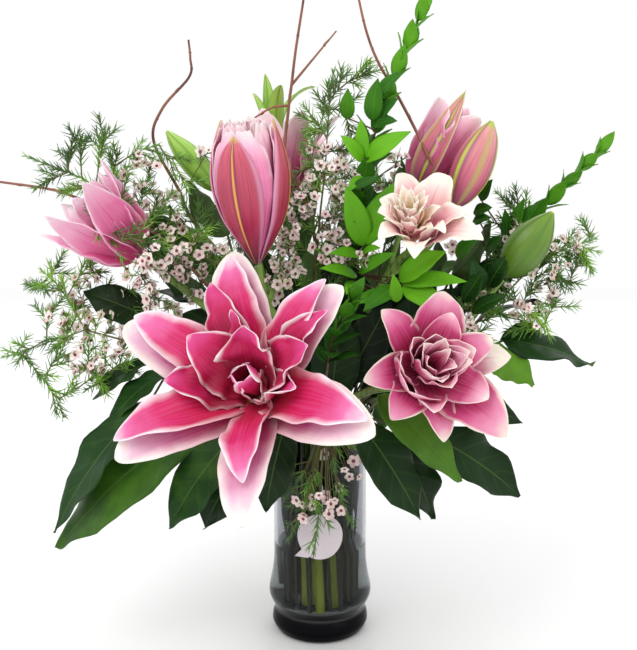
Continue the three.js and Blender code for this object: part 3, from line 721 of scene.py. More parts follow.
def sepal_material(name, colours, rib_width, tip_from):
    """A sepal's look: colours are its low, middle, high, rib, tip and edge, as they look on a screen."""
    low, middle, high, rib_colour, tip_colour, edge = (srgb(*colour) for colour in colours)
    material, tree, shader = new_material(name, roughness=0.38, subsurface=0.08, subsurface_scale=0.002)
    off_centre, along = petal_coordinates(tree)
    wobble = texture(tree, "Noise", 40, Detail=2)
    along = maths(tree, "MULTIPLY_ADD", wobble.outputs[0], 0.16, maths(tree, "SUBTRACT", along, 0.08))
    streaks = texture(tree, "Noise", 1, stretch=(40, 3, 1), source="UV", Detail=4)
    body = ramp(tree, along, [(0.0, low), (0.42, middle), (0.8, high), (1.0, high)])
    body = mixed(tree, times(tree, step(tree, streaks.outputs[0], 0.4, 0.64), 0.35), body, low)
    body = mixed(tree, times(tree, step(tree, off_centre, 0.7, 1.0), 0.6), body, edge)
    body = mixed(tree, step(tree, along, tip_from, tip_from + 0.14), body, tip_colour)
    body = mixed(tree, times(tree, step(tree, off_centre, 2.6 * rib_width, rib_width), 0.6), body, low)
    greener = mixed(tree, 0.5, rib_colour, srgb(60, 130, 20))
    rib = mixed(tree, step(tree, along, 0.72, 0.95), rib_colour, greener)
    body = mixed(tree, step(tree, off_centre, rib_width, 0.3 * rib_width), body, rib)
    feed(tree, shader.inputs["Base Color"], body)
    bump(tree, shader, streaks.outputs[0], 0.3, 0.0006)
    return material


rose_sepal = sepal_material(
    "rose_sepal",
    ((92, 16, 48), (176, 38, 76), (204, 92, 112), (222, 160, 76), (206, 176, 104), (232, 176, 210)),
    0.07,
    0.84,
)
striped_sepal = sepal_material(
    "striped_sepal",
    ((128, 52, 92), (206, 104, 126), (232, 164, 156), (188, 190, 74), (178, 196, 80), (170, 182, 70)),
    0.16,
    0.82,
)
green_sepal = sepal_material(
    "green_sepal",
    ((58, 92, 16), (88, 124, 24), (110, 146, 36), (84, 126, 30), (186, 196, 84), (74, 118, 30)),
    0.08,
    0.92,
)
light_sepal = sepal_material(
    "light_sepal",
    ((112, 164, 44), (148, 198, 72), (176, 214, 98), (110, 160, 46), (190, 216, 120), (96, 148, 40)),
    0.08,
    0.92,
)
blush_petal = petal_material(
    "blush_bud_petal",
    ((196, 80, 130), (208, 84, 140), (226, 130, 170), (242, 190, 208), (250, 226, 228)),
    0.86,
)

CLOSED_SEPAL = 0.0012
OPEN_SEPAL = 0.0009
CURLED_SEPAL = 0.0008
tall = flower_frame(SEAT["tall"], (-48.5, -46, 143), (-0.07, -0.18, 0.98))
bm = bmesh.new()
for angle, tip in ((-86, 112), (12, 122), (166, 122)):
    add_sepal(
        bm,
        tall,
        angle,
        [(3.5, 0), (15, 18), (28, 42), (34, 70), (32, 96), (25, tip)],
        41,
        taper=0.93,
        ridge=1.4,
        grid=(34, 16),
    )
thicken(finish("tall_bud_sepals", bm, [rose_sepal, blush_petal], "pink_bud", ["tall_bud"]), CLOSED_SEPAL)
bm = bmesh.new()
for ring, (radius, height) in enumerate([(30, 116), (23, 120), (14, 120)]):
    for i in range(3 + ring):
        profile = [(3, 4), (radius * 0.5, 24), (radius, 62), (radius * 0.96, 96), (radius * 0.74, height)]
        add_sepal(
            bm, tall, 38 + 47 * ring + 360 * i / (3 + ring), profile, 60 - 8 * ring, tone=0.5, taper=0.5,
            ridge=0.4, ruffle=3, grid=(22, 14),
        )
thicken(finish("tall_bud_petals", bm, [blush_petal, blush_petal], "pink_bud"), PETAL)

CLOSED_BUDS = [
    (
        "striped_bud",
        "pink_bud",
        striped_sepal,
        "pale",
        (109, -16, 189),
        (0.39, 0, 0.92),
        [(2.6, 0), (11, 12), (17, 30), (17, 50), (11, 70), (2, 84)],
    ),
    (
        "right_bud",
        "green_bud",
        green_sepal,
        "right",
        (157, 6, 127),
        (0.55, -0.16, 0.82),
        [(2.6, 0), (12, 10), (18, 26), (17, 44), (10, 60), (2, 72)],
    ),
    (
        "slender_bud",
        "stem",
        light_sepal,
        "tall",
        (-88, 35, 203),
        (-0.66, 0, 0.75),
        [(2.2, 0), (9, 14), (12.5, 32), (11, 50), (6, 66), (1.5, 76)],
    ),
]
for key, slot, material, seat, offset, axis, profile in CLOSED_BUDS:
    bm = bmesh.new()
    for i in range(3):
        add_sepal(
            bm, flower_frame(SEAT[seat], offset, axis), 255 + 120 * i, profile, 60.5, ridge=1.3, grid=(24, 12)
        )
    bmesh.ops.remove_doubles(bm, verts=bm.verts, dist=0.15)
    finish(f"{key}_sepals", bm, [material], slot, [key] if key != "slender_bud" else [])

# ---------- Half-open lilies ----------
# Three flowers seen from the side or the back: a pink trumpet at the left, one with green-ribbed sepals and
# curled tips at the upper right, and one behind the tall bud.
left = flower_frame(SEAT["left"], (-144, -15.3, 147.2), (-0.72, -0.14, 0.68))
left_rose = petal_material(
    "left_rose", ((190, 90, 130), (206, 70, 130), (224, 116, 164), (240, 176, 204), (250, 226, 236)), 0.84
)
bm = bmesh.new()
for i in range(6):
    line = [(3.5, 0), (16, 20), (26, 52), (46 - 5 * (i % 2), 78 + 5 * (i % 2))]
    add_petal(
        bm, left, 60 * i + 18, line, 40, cup=-0.35, ruffle=1.6, root=0.6, tip=0.85,
        tone=0.56 + 0.06 * (i % 2), sway=2, grid=(22, 10),
    )
for i in range(7):
    line = [(3, 6), (12, 24), (18, 54), (30 - 4 * (i % 2), 76)]
    add_petal(bm, left, 51 * i, line, 24, cup=-0.3, ruffle=3, root=0.6, tip=0.6, tone=0.62, grid=(18, 8))
thicken(finish("left_lily_petals", bm, [left_rose, left_rose], "pale_petal", ["left_lily"]), PETAL)

tipped = flower_frame(SEAT["pale"], (81, 14.5, 210), (0.5, 0.1, 0.86))
bm = bmesh.new()
for angle, tip, width in ((262, (30, 84), 30), (150, (24, 92), 26), (30, (40, 84), 26)):
    add_petal(
        bm, tipped, angle, [(3.5, 0), (24, 20), (16, 58), tip], width, cup=-0.5, ruffle=1, root=0.5, tip=0.9,
        tone=0.5, grid=(24, 12),
    )
thicken(
    finish("tipped_lily_sepals", bm, [blush_petal, striped_sepal], "green_bud", ["green_tipped_lily"]),
    OPEN_SEPAL,
)
bm = bmesh.new()
for ring in range(3):
    for i in range(4):
        line = [(3, 4), (20 - 5 * ring, 22), (17 - 4 * ring, 56), (30 - 10 * ring, 76 + 3 * ring)]
        add_petal(
            bm, tipped, 20 + 90 * i + 40 * ring, line, 32 - 6 * ring, cup=0.35, ruffle=3.5, root=0.6, tip=0.5,
            tone=0.5, grid=(20, 12),
        )
thicken(finish("tipped_lily_petals", bm, [blush_petal, blush_petal], "green_bud"), PETAL)

behind = flower_frame(SEAT["tall"], (-30, 52, 190), (-0.12, 0.2, 0.95))
bm = bmesh.new()
for angle, line, width in [
    (0, [(3, 0), (20, 24), (24, 60), (26, 88)], 34), (48, [(3, 0), (18, 24), (26, 60), (34, 84)], 34),
    (100, [(3, 0), (18, 24), (28, 60), (46, 80)], 34), (150, [(3, 0), (20, 24), (34, 62), (66, 82)], 34),
    (190, [(3, 0), (20, 24), (40, 64), (76, 78)], 32), (300, [(3, 0), (18, 24), (24, 60), (28, 86)], 34),
    (30, [(3, 4), (10, 30), (12, 66), (16, 94)], 26), (210, [(3, 4), (10, 30), (14, 66), (30, 92)], 26),
]:
    add_petal(
        bm, behind, angle, line, width, cup=0.1, ruffle=2.6, root=0.6, tip=0.5, tone=0.66, grid=(22, 10)
    )
thicken(finish("back_lily_petals", bm, [blush_petal, blush_petal], "pale_petal", ["back_lily"]), PETAL)
bm = bmesh.new()
for angle, line, width in [
    (180, [(4, 60), (10, 96), (26, 116), (54, 122)], 15), (280, [(4, 60), (6, 84), (2, 106), (2, 132)], 17),
    (352, [(4, 60), (8, 84), (12, 100), (16, 112)], 16), (80, [(4, 60), (8, 84), (20, 104), (36, 108)], 16),
]:
    add_petal(bm, behind, angle, line, width, cup=0.35, root=0.6, tip=0.8, tone=0.6, grid=(18, 8))
thicken(finish("back_lily_sepals", bm, [light_sepal, light_sepal], "pale_petal"), CURLED_SEPAL)

# ---------- Lemon leaf ----------
# Branches of salal, the florist's lemon leaf: leathery leaves, glossy and dark above, with a drawn-out tip,
# a wavy margin and pale arching side veins. A few young ones are bright green.


def nearest(lines, point, lowest=RIM + 6):
    return min(
        (spot for line in lines for spot in line if spot.z > lowest), key=lambda spot: (spot - point).length
    )


def add_leaf(
    bm, base, tip, width, facing=None, bow=0.07, fold=0.14, wave=0.05, root=0.6, end=0.95, drip=0.0, tone=0.2,
    grid=(14, 6),
):
    """A leaf from base to tip: facing is its upper side, bow its arch and fold the lift of its two halves."""
    base, tip = Vector(base), Vector(tip)
    facing = Vector(facing or Vector((base.x * 0.5, base.y - 30, 0)).normalized() + Vector((0, 0, 0.7)))
    length = (tip - base).length
    ahead = (tip - base) / length
    aside = ahead.cross(facing).normalized()
    up = aside.cross(ahead)

    def place(s, t):
        half = width / 2 * outline(s, root, end, 0.02) * (1 - drip * min(1, max(0, (s - 0.7) / 0.22)))
        ripple = 2 * wave * width * abs(t) ** 1.5 * noise.noise(base * 0.05 + Vector((s * 5, t * 0.7, 0)))
        rise = 4 * bow * length * s * (1 - s) + fold * half * abs(t) + ripple
        return base + ahead * (length * s) + up * rise + aside * (half * t)

    bent_grid(bm, *grid, tone, place)


def leaf_material(name, colours, vein_count, roughness):
    """A leaf's look: colours are its dark, middle, bright and vein colours, as they look on a screen."""
    dark, middle, bright, vein_colour = (srgb(*colour) for colour in colours)
    material, tree, shader = new_material(name, roughness=roughness, specular=0.18)
    off_centre, along = petal_coordinates(tree)
    swept = maths(tree, "SUBTRACT", along, times(tree, off_centre, 0.16))
    wander = texture(tree, "Noise", 90, Detail=2)
    swept = maths(tree, "MULTIPLY_ADD", wander.outputs[0], 0.03, swept)
    phase = maths(tree, "FRACT", times(tree, swept, vein_count))
    vein = step(tree, maths(tree, "ABSOLUTE", maths(tree, "SUBTRACT", phase, 0.5)), 0.12, 0.02)
    rib = step(tree, off_centre, 0.055, 0.015)
    lines = maths(tree, "MAXIMUM", times(tree, vein, 0.14), times(tree, rib, 0.7))
    mottle = texture(tree, "Noise", 30, Detail=3)
    shade = maths(tree, "ADD", tone_of(tree), maths(tree, "MULTIPLY_ADD", mottle.outputs[0], 0.36, -0.18))
    body = ramp(tree, shade, [(0.0, dark), (0.45, middle), (1.0, bright)])
    feed(tree, shader.inputs["Base Color"], mixed(tree, times(tree, lines, 0.5), body, vein_colour))
    bump(tree, shader, lines, 0.5, -0.0005)
    return material


def wood_material(name, scale, dark, light, roughness, relief=0.0):
    """Bark or stalk with a fine grain along it, its two colours as they look on a screen."""
    material, tree, shader = new_material(name, roughness=roughness)
    grain = texture(tree, "Noise", scale, stretch=(1, 1, 0.2), Detail=3)
    feed(tree, shader.inputs["Base Color"], mixed(tree, grain.outputs[0], srgb(*dark), srgb(*light)))
    if relief:
        bump(tree, shader, grain.outputs[0], relief, 0.0004)
    return material


salal = leaf_material("salal_leaf", ((5, 18, 4), (24, 60, 16), (112, 168, 40), (92, 124, 56)), 7, 0.46)
salal_under = leaf_material(
    "salal_leaf_under", ((44, 70, 30), (74, 108, 46), (132, 172, 66), (120, 148, 80)), 7, 0.6
)
woody_green = wood_material("woody_green", 240, (64, 70, 34), (88, 84, 48), 0.5)
# A near-black copy of the woody green for the feet packed in the vase: painted shade for the dark inside of
# the vase.
painted_shade_wood = wood_material("painted_shade_wood", 240, (14, 15, 10), (40, 38, 22), 0.6)
LEAF = 0.0006
SALAL_SHAPE = {"wave": 0.10, "root": 0.55, "end": 0.75, "drip": 0.4}
BRANCHES = {
    "left": ((-6, 0), [(-34, -10, 18), (-64, -16, 40), (-96, -20, 54)], [
        ((-74, -60, 2), (-204, -56, -119), 76, 0.54), ((-116, -46, 18), (-203, -66, -100), 50, 0.42),
        ((-127, -16, 45), (-180, -6, 9), 30, 0.42), ((-107, -26, 40), (-162, -36, -12), 34, 0.4),
        ((-123, -6, 87), (-187, 4, 110), 36, 0.16)]),
    "front_left": ((-3, -3), [(-8, -18, 10), (-20, -34, 8)], [
        ((-58, -48, -6), (-116, -48, -91), 46, 0.45), ((-40, -38, -14), (-86, -34, -96), 46, 0.2),
        ((-30, -54, 2), (-66, -56, -53), 28, 0.3), ((-12, -40, 4), (-30, -42, -77), 38, 0.16)]),
    "front_right": ((3, -3), [(8, -18, 10), (20, -34, 8)], [
        ((18, -50, 4), (70, -50, -81), 44, 0.22), ((49, -30, -10), (84, -26, -90), 42, 0.18),
        ((31, -64, 34), (101, -74, -39), 36, 0.62), ((78, -34, -8), (161, -34, -66), 52, 0.26)]),
    "right": ((6, 0), [(34, -6, 18), (69, -10, 40), (96, -14, 52)], [
        ((133, -6, 66), (221, -6, 41), 50, 0.34), ((108, -30, 58), (158, -40, 30), 50, 0.78),
        ((80, -34, 20), (150, -36, -6), 36, 0.22)]),
    "back_left": ((-4, 2), [(-14, 16, 24), (-34, 44, 62)], [
        ((-44, 46, 60), (-130, 80, 10), 56, 0.25), ((-34, 58, 64), (-70, 130, 30), 56, 0.3),
        ((-46, 40, 92), (-118, 70, 140), 44, 0.2), ((-20, 50, 36), (-50, 80, -50), 50, 0.3)]),
    "back_right": ((4, 2), [(16, 18, 24), (40, 46, 60)], [
        ((50, 48, 56), (130, 84, 10), 56, 0.22), ((40, 60, 62), (76, 130, 30), 56, 0.3),
        ((52, 44, 88), (120, 76, 130), 44, 0.25), ((24, 52, 36), (44, 80, -50), 50, 0.2)]),
}
for key, (seat, route, leaves) in BRANCHES.items():
    branch = stem_line(seat, route)
    rods, bm = [(branch, 2.3, 1.8)], bmesh.new()
    for base, tip, width, tone in leaves:
        base, tip = above(seat, base), above(seat, tip)
        rods.append((smooth_line([nearest([branch], base), base.lerp(tip, 0.03)], 2), 1.3, 1.0))
        add_leaf(bm, base, tip, width, tone=tone, grid=(24, 12), **SALAL_SHAPE)
    thicken(
        finish(f"lemon_leaves_{key}", bm, [salal, salal_under], "lemon_leaf", [f"lemon_leaf_{key}"]), LEAF
    )
    finish_rods(f"lemon_leaf_branch_{key}", rods, 8, woody_green, "lemon_leaf")

# More leaves stand in the gaps between the flowers, and all round the back.
random.seed(11)
INNER_LEAVES = [
    ((10, -22, 236), (20, -44, 326), 44), ((24, -14, 248), (64, -34, 330), 42),
    ((0, -12, 258), (-34, -22, 346), 42), ((-22, -8, 262), (-78, -14, 340), 44),
    ((-60, -12, 300), (-152, -30, 302), 36), ((-16, 12, 290), (-58, 12, 372), 40),
    ((18, 14, 296), (6, 16, 384), 36), ((44, 16, 290), (92, 22, 380), 40), ((58, 8, 270), (112, 6, 346), 44),
    ((76, 14, 284), (152, 16, 336), 40), ((60, -14, 250), (128, -26, 306), 40),
    ((-50, 4, 250), (-120, 4, 300), 44), ((-70, -30, 262), (-140, -60, 236), 36),
    ((40, 0, 240), (150, -10, 262), 42), ((-112, 24, 322), (-161, 10, 381), 44),
    ((-99, 30, 350), (-144, 16, 413), 42), ((-101, 16, 313), (-161, 2, 332), 40),
    ((-89, 34, 384), (-127, 20, 437), 36), ((-128, 40, 364), (-173, 26, 404), 38),
    ((126, 20, 317), (189, 6, 367), 46), ((128, 26, 346), (161, 12, 398), 38),
    ((145, 16, 298), (216, 2, 322), 42), ((180, 30, 346), (229, 16, 380), 30),
    ((-24, 44, 357), (-2, 30, 448), 40), ((25, 44, 364), (42, 30, 456), 40),
    ((64, 44, 374), (78, 30, 460), 36), ((-49, 30, 321), (-19, 16, 390), 40),
    ((93, 30, 321), (114, 16, 385), 44), ((24, 0, 296), (30, -14, 362), 44),
    ((43, -10, 250), (29, -24, 328), 40),
]
for i in range(14):
    azimuth = math.radians(20 + 10.5 * i)
    low = Vector((30 * math.cos(azimuth), 22 + 24 * math.sin(azimuth), 246 + 34 * (i % 3)))
    reach = Vector((math.cos(azimuth) * 78, math.sin(azimuth) * 52, (-34, 26, 62)[i % 3]))
    INNER_LEAVES.append((low, low + reach, random.uniform(38, 50)))
bm = bmesh.new()
stalks = []
for base, tip, width in INNER_LEAVES:
    base, tip = Vector(base), Vector(tip)
    # The leaves in the gaps take only dark tones: painted shade for the shaded gaps between the flowers.
    add_leaf(bm, base, tip, width, tone=random.uniform(0.05, 0.3), grid=(20, 10), **SALAL_SHAPE)
    foot = Vector((base.x * 0.5, base.y * 0.5, RIM - 4))
    stalks.append((smooth_line([foot, foot.lerp(base, 0.5), base.lerp(tip, 0.03)], 4), 1.6, 1.1))
thicken(finish("inner_leaves", bm, [salal, salal_under], "lemon_leaf"), LEAF)
finish_rods("inner_leaf_stalks", stalks, 6, woody_green, "lemon_leaf")

# The woody feet of the foliage stand packed together at the back of the vase, with a few leaves pushed down
# inside the mouth, so that little light comes through. Their near-black bark and the very dark leaves are
# painted shade for the dark inside of the vase. A space is left behind the stems for one more: feet that
# would stand in it are short, and the leaves behind it lie flat along the glass.
FEET = 54
LEAVES_IN_VASE = 16
SPACE_FRONT = 16
SPACE_HALF_WIDTH = 18


def round_axis(radius, azimuth, height):
    return Vector((radius * math.cos(azimuth), radius * math.sin(azimuth), height))


feet = []
for i in range(FEET):
    azimuth = math.radians(-8 + 196 * ((i * 0.618) % 1))
    spread = 12 + 24 * ((i * 0.414) % 1)
    lean = random.uniform(-0.25, 0.25)
    low = round_axis(spread, azimuth, FLOOR_TOP + random.uniform(3, 16))
    top = round_axis(spread, azimuth + lean, random.uniform(150, 205))
    bend = Vector((random.uniform(-3, 3), random.uniform(-3, 3), 0))
    if max(low.y, top.y) > SPACE_FRONT and min(abs(low.x), abs(top.x)) < SPACE_HALF_WIDTH:
        top = Vector((low.x, low.y, 66 + 0.1 * top.z))
    feet.append((smooth_line([low, low.lerp(top, 0.5) + bend, top], 6), 2.3, 1.9))
# The feet's near-black bark is painted shade, darkening the inside of the vase.
finish_rods("packed_feet", feet, 8, painted_shade_wood, "stem")

bm = bmesh.new()
for i in range(LEAVES_IN_VASE):
    azimuth = math.radians(-78 + 222 * (i / (LEAVES_IN_VASE - 1)) + 14 * (i % 2))
    if math.sin(azimuth) > 0.5:
        radius, width, turn, shape = 39.2, 24, 0.16, {"bow": 0, "fold": 0, "wave": 0}
    else:
        radius, width, turn, shape = 33 + 1.8 * (i % 2), 32, 0.3, {"bow": 0.02, "fold": -0.2}
    low = round_axis(radius, azimuth, 218 - 8 * (i % 3))
    tip = round_axis(radius, azimuth + turn, 128 - 12 * (i % 4))
    # These leaves take the darkest tones: painted shade lining the inside of the vase.
    tone = random.uniform(0, 0.14)
    add_leaf(bm, low, tip, width, (low.x, low.y, 0), drip=0.4, tone=tone, grid=(16, 8), **shape)
thicken(finish("leaves_in_vase", bm, [salal, salal_under], "lemon_leaf"), LEAF)

# ---------- Myrtle ----------
# Upright twigs with pairs of small pointed satin leaves, dark lower down and fresh yellow-green at the tips.
myrtle_green = leaf_material(
    "myrtle_leaf", ((10, 38, 9), (44, 106, 18), (108, 182, 30), (116, 168, 60)), 9, 0.45
)
myrtle_bark = wood_material("myrtle_bark", 300, (70, 40, 34), (104, 88, 52), 0.6, relief=0.3)
MYRTLE_LEAF = 0.0004
MYRTLE_SHAPE = {"fold": 0.2, "root": 0.7, "end": 1}
# The larger loose leaves stand this far forward of the pairs, at the root and at the tip.
FORWARD = (Vector((0, -10, 0)), Vector((0, -18, 0)))


def square_to(ahead, turn):
    """A direction at right angles to ahead, turned round it by the given angle."""
    side = ahead.cross(Vector((0.3, 0.9, 0.1))).normalized()
    return Quaternion(ahead, turn) @ side


def add_leaf_pairs(bm, line, start, pairs, length, width, lean, tones):
    """Pairs of leaves along a twig from share start to its tip, each pair turned square to the last."""
    for i in range(pairs):
        share = i / (pairs - 1)
        spot = (start + (1 - start) * share) * (len(line) - 1)
        low = min(int(spot), len(line) - 2)
        point = line[low].lerp(line[low + 1], spot - low)
        ahead = (line[low + 1] - line[low]).normalized()
        for half_turn in (0, math.pi):
            side = square_to(ahead, i * math.pi / 2 + half_turn + random.uniform(-0.4, 0.4))
            tilt = lean * (1.15 - 0.75 * share) + random.uniform(-0.12, 0.12)
            out = ahead * math.cos(tilt) + side * math.sin(tilt)
            size = (1 - 0.3 * share) * random.uniform(0.85, 1.1)
            facing = ahead * math.sin(tilt) - side * math.cos(tilt)
            tone = tones[0] + (tones[1] - tones[0]) * share + random.uniform(-0.1, 0.1)
            tip = point + out * length * size
            add_leaf(bm, point, tip, width * size, facing, bow=0.06, tone=tone, grid=(8, 4), **MYRTLE_SHAPE)


SPRIGS = {
    "centre": (
        (1, 1), [(4, -2, 78), (24, -11, 113), (29, -16, 160), (34, -16, 215), (53, -16, 286), (81, -16, 354)],
        (0.58, 20, 36, 18, 0.75, (0.25, 0.8)),
        [
            ((39, -12, 453), (18, -20, 475), 15, 0.9), ((39, -10, 455), (36, -8, 490), 13, 0.9),
            ((40, -12, 453), (79, -26, 478), 21, 0.92), ((38, -12, 440), (25, -20, 426), 10, 0.8),
            ((29, -22, 429), (53, -28, 438), 11, 0.3), ((40, -14, 377), (23, -22, 431), 23, 0.85),
            ((41, -14, 378), (67, -20, 435), 24, 0.78), ((38, -14, 371), (53, -30, 377), 10, 0.8),
            ((38, -14, 369), (8, -34, 372), 13, 0.8), ((35, -16, 353), (67, -34, 373), 14, 0.7),
            ((34, -16, 350), (0, -40, 360), 14, 0.85), ((33, -16, 345), (23, -40, 337), 13, 0.85),
            ((71, -26, 347), (110, -40, 375), 23, 0.95), ((73, -26, 345), (128, -46, 349), 17, 0.9),
            ((75, -28, 343), (109, -50, 323), 23, 0.95), ((69, -34, 328), (64, -42, 355), 12, 1.0),
            ((69, -26, 342), (38, -40, 322), 17, 0.5), ((59, -26, 335), (29, -36, 328), 14, 0.6),
            ((25, 4, 491), (25, 0, 517), 14, 0.6), ((47, -4, 489), (51, -10, 525), 17, 0.5),
            ((53, -4, 492), (69, -10, 508), 13, 0.4), ((49, -6, 485), (68, -14, 488), 13, 0.3),
            ((51, -6, 510), (73, -12, 530), 14, 0.5),
        ],
    ),
    "right": (
        (4, 0), [(46, 6, 38), (106, 20, 98), (154, 34, 150), (199, 36, 196), (240, 36, 240)],
        (0.5, 20, 36, 17, 0.7, (0.2, 0.75)),
        [
            ((147, 0, 418), (155, -6, 437), 12, 0.2), ((141, 0, 407), (156, -4, 412), 13, 0.15),
            ((140, 0, 398), (155, -6, 403), 12, 0.15), ((154, 0, 370), (163, -10, 386), 13, 0.15),
            ((125, -8, 367), (141, -20, 384), 17, 0.5), ((147, -10, 334), (135, -22, 366), 20, 0.1),
            ((155, -8, 339), (169, -14, 369), 20, 0.1), ((131, -20, 327), (146, -26, 356), 18, 0.1),
            ((138, -24, 318), (166, -34, 336), 16, 0.15), ((186, 24, 392), (204, 22, 416), 12, 0.4),
            ((182, 26, 388), (190, 20, 420), 12, 0.5), ((178, 26, 380), (172, 18, 410), 12, 0.3),
        ],
    ),
    "front": ((0, -2), [(6, -18, 40), (12, -36, 78), (27, -54, 113)], (0.66, 8, 34, 16, 0.9, (0.2, 0.6)), []),
}
for key, (seat, route, (start, pairs, length, width, lean, tones), extras) in SPRIGS.items():
    twig = stem_line(seat, route)
    rods, bm = [(twig, 1.8, 0.9)], bmesh.new()
    add_leaf_pairs(bm, twig, start, pairs, length, width, lean, tones)
    for base, tip, width, tone in extras:
        base, tip = Vector(base) + FORWARD[0], Vector(tip) + FORWARD[1]
        rods.append((smooth_line([nearest([twig], base), base.lerp(tip, 0.05)], 2), 0.9, 0.7))
        add_leaf(bm, base, tip, width, (-0.1, -0.8, 0.55), tone=tone, grid=(12, 6), **MYRTLE_SHAPE)
    thicken(
        finish(f"myrtle_leaves_{key}", bm, [myrtle_green, myrtle_green], "myrtle", [f"myrtle_{key}"]),
        MYRTLE_LEAF,
    )
    finish_rods(f"myrtle_twig_{key}", rods, 6, myrtle_bark, "myrtle")

# ---------- Waxflower ----------
# Wiry branching twigs clothed in short needle leaves, with clusters of waxy five-petalled blossoms, blush
# white round a dark red cup.
wax_twig, tree, shader = new_material("waxflower_twig", roughness=0.6)
mottle = texture(tree, "Noise", 60)
feed(tree, shader.inputs["Base Color"], mixed(tree, mottle.outputs[0], srgb(92, 58, 40), srgb(96, 116, 48)))
needle_green, tree, shader = new_material("waxflower_needle", roughness=0.45)
fresh = texture(tree, "Noise", 28, Detail=2)
greens = [(0.3, srgb(44, 78, 30)), (0.5, srgb(84, 134, 42)), (0.66, srgb(138, 190, 60))]
feed(tree, shader.inputs["Base Color"], ramp(tree, fresh.outputs[0], greens))
wax_petal, tree, shader = new_material(
    "waxflower_petal", roughness=0.35, subsurface=0.1, subsurface_scale=0.001
)
blushed = texture(tree, "Noise", 120, Detail=2)
blushes = [(0.35, srgb(222, 188, 188)), (0.6, srgb(244, 230, 222))]
feed(tree, shader.inputs["Base Color"], ramp(tree, blushed.outputs[0], blushes))
wax_cup, tree, shader = new_material("waxflower_cup", roughness=0.3)
mottle = texture(tree, "Noise", 200)
feed(tree, shader.inputs["Base Color"], mixed(tree, mottle.outputs[0], srgb(74, 18, 34), srgb(140, 52, 62)))
NEEDLE, WAX_PETAL, CUP = 1, 2, 3


def kept_mesh(name, bm):
    """Keeps a small drawing as a mesh that add_copies can set down many times."""
    mesh = bpy.data.meshes.new(name)
    bm.to_mesh(mesh)
    bm.free()
    return mesh


bm = bmesh.new()
bmesh.ops.create_cone(bm, cap_ends=True, segments=3, radius1=0.75, radius2=0.2, depth=1)
bmesh.ops.translate(bm, vec=(0, 0, 0.5), verts=bm.verts)
for face in bm.faces:
    face.material_index = NEEDLE
needle = kept_mesh("needle", bm)

bm = bmesh.new()
bmesh.ops.create_cone(bm, cap_ends=True, segments=6, radius1=0.7, radius2=1.75, depth=3.4)
bmesh.ops.translate(bm, vec=(0, 0, -1.2), verts=bm.verts)
for face in bm.faces:
    face.material_index = CUP
for i in range(5):
    seen = set(bm.faces)
    circle = bmesh.ops.create_circle(bm, cap_ends=True, cap_tris=True, segments=7, radius=2.45)["verts"]
    place = Matrix.Rotation(math.radians(72 * i), 4, "Z") @ Matrix.Translation((3.3, 0, 0.9))
    bmesh.ops.transform(bm, matrix=place @ Matrix.Rotation(-0.3, 4, "Y"), verts=circle)
    for face in set(bm.faces) - seen:
        face.material_index = WAX_PETAL
blossom = kept_mesh("blossom", bm)


def add_copies(bm, mesh, places):
    for place in places:
        mesh.transform(place)
        bm.from_mesh(mesh)
        mesh.transform(place.inverted())


def standing(point, ahead, size, turn=0.0):
    """Places a small mesh at point with its own z along ahead."""
    place = Matrix.Translation(point) @ ahead.to_track_quat("Z", "Y").to_matrix().to_4x4()
    return place @ Matrix.Rotation(turn, 4, "Z") @ Matrix.Diagonal((*size, 1))


def needles_along(line, bare, spacing=2.6):
    """Needle places in crossed pairs along a shoot, from share bare to its tip."""
    places, lengths = [], [(b - a).length for a, b in zip(line, line[1:])]
    total, done = sum(lengths), 0.0
    reach = total * bare
    count = 0
    for (a, b), length in zip(zip(line, line[1:]), lengths):
        while reach < done + length:
            ahead = (b - a).normalized()
            point = a.lerp(b, (reach - done) / length)
            near_tip = 1 - 0.5 * max(0.0, (reach / total - 0.7) / 0.3)
            lean = 0.62 * near_tip + 0.1
            for half_turn in (0, math.pi):
                side = square_to(ahead, count * 1.9 + half_turn + random.uniform(-0.3, 0.3))
                out = ahead * math.cos(lean) + side * math.sin(lean)
                places.append(standing(point, out, (1, 1, random.uniform(8, 13) * near_tip)))
            reach += spacing
            count += 1
        done += length
    return places


def shoot_to(lines, tip, drop=0.3):
    tip = Vector(tip)
    trunk_top = lines[0][-1]
    start = nearest(lines, tip - Vector((0, 0, drop * (trunk_top - tip).length)))
    middle = start.lerp(tip, 0.5)
    middle.z = 0.35 * start.z + 0.65 * tip.z
    return smooth_line([start, middle, tip], 5)


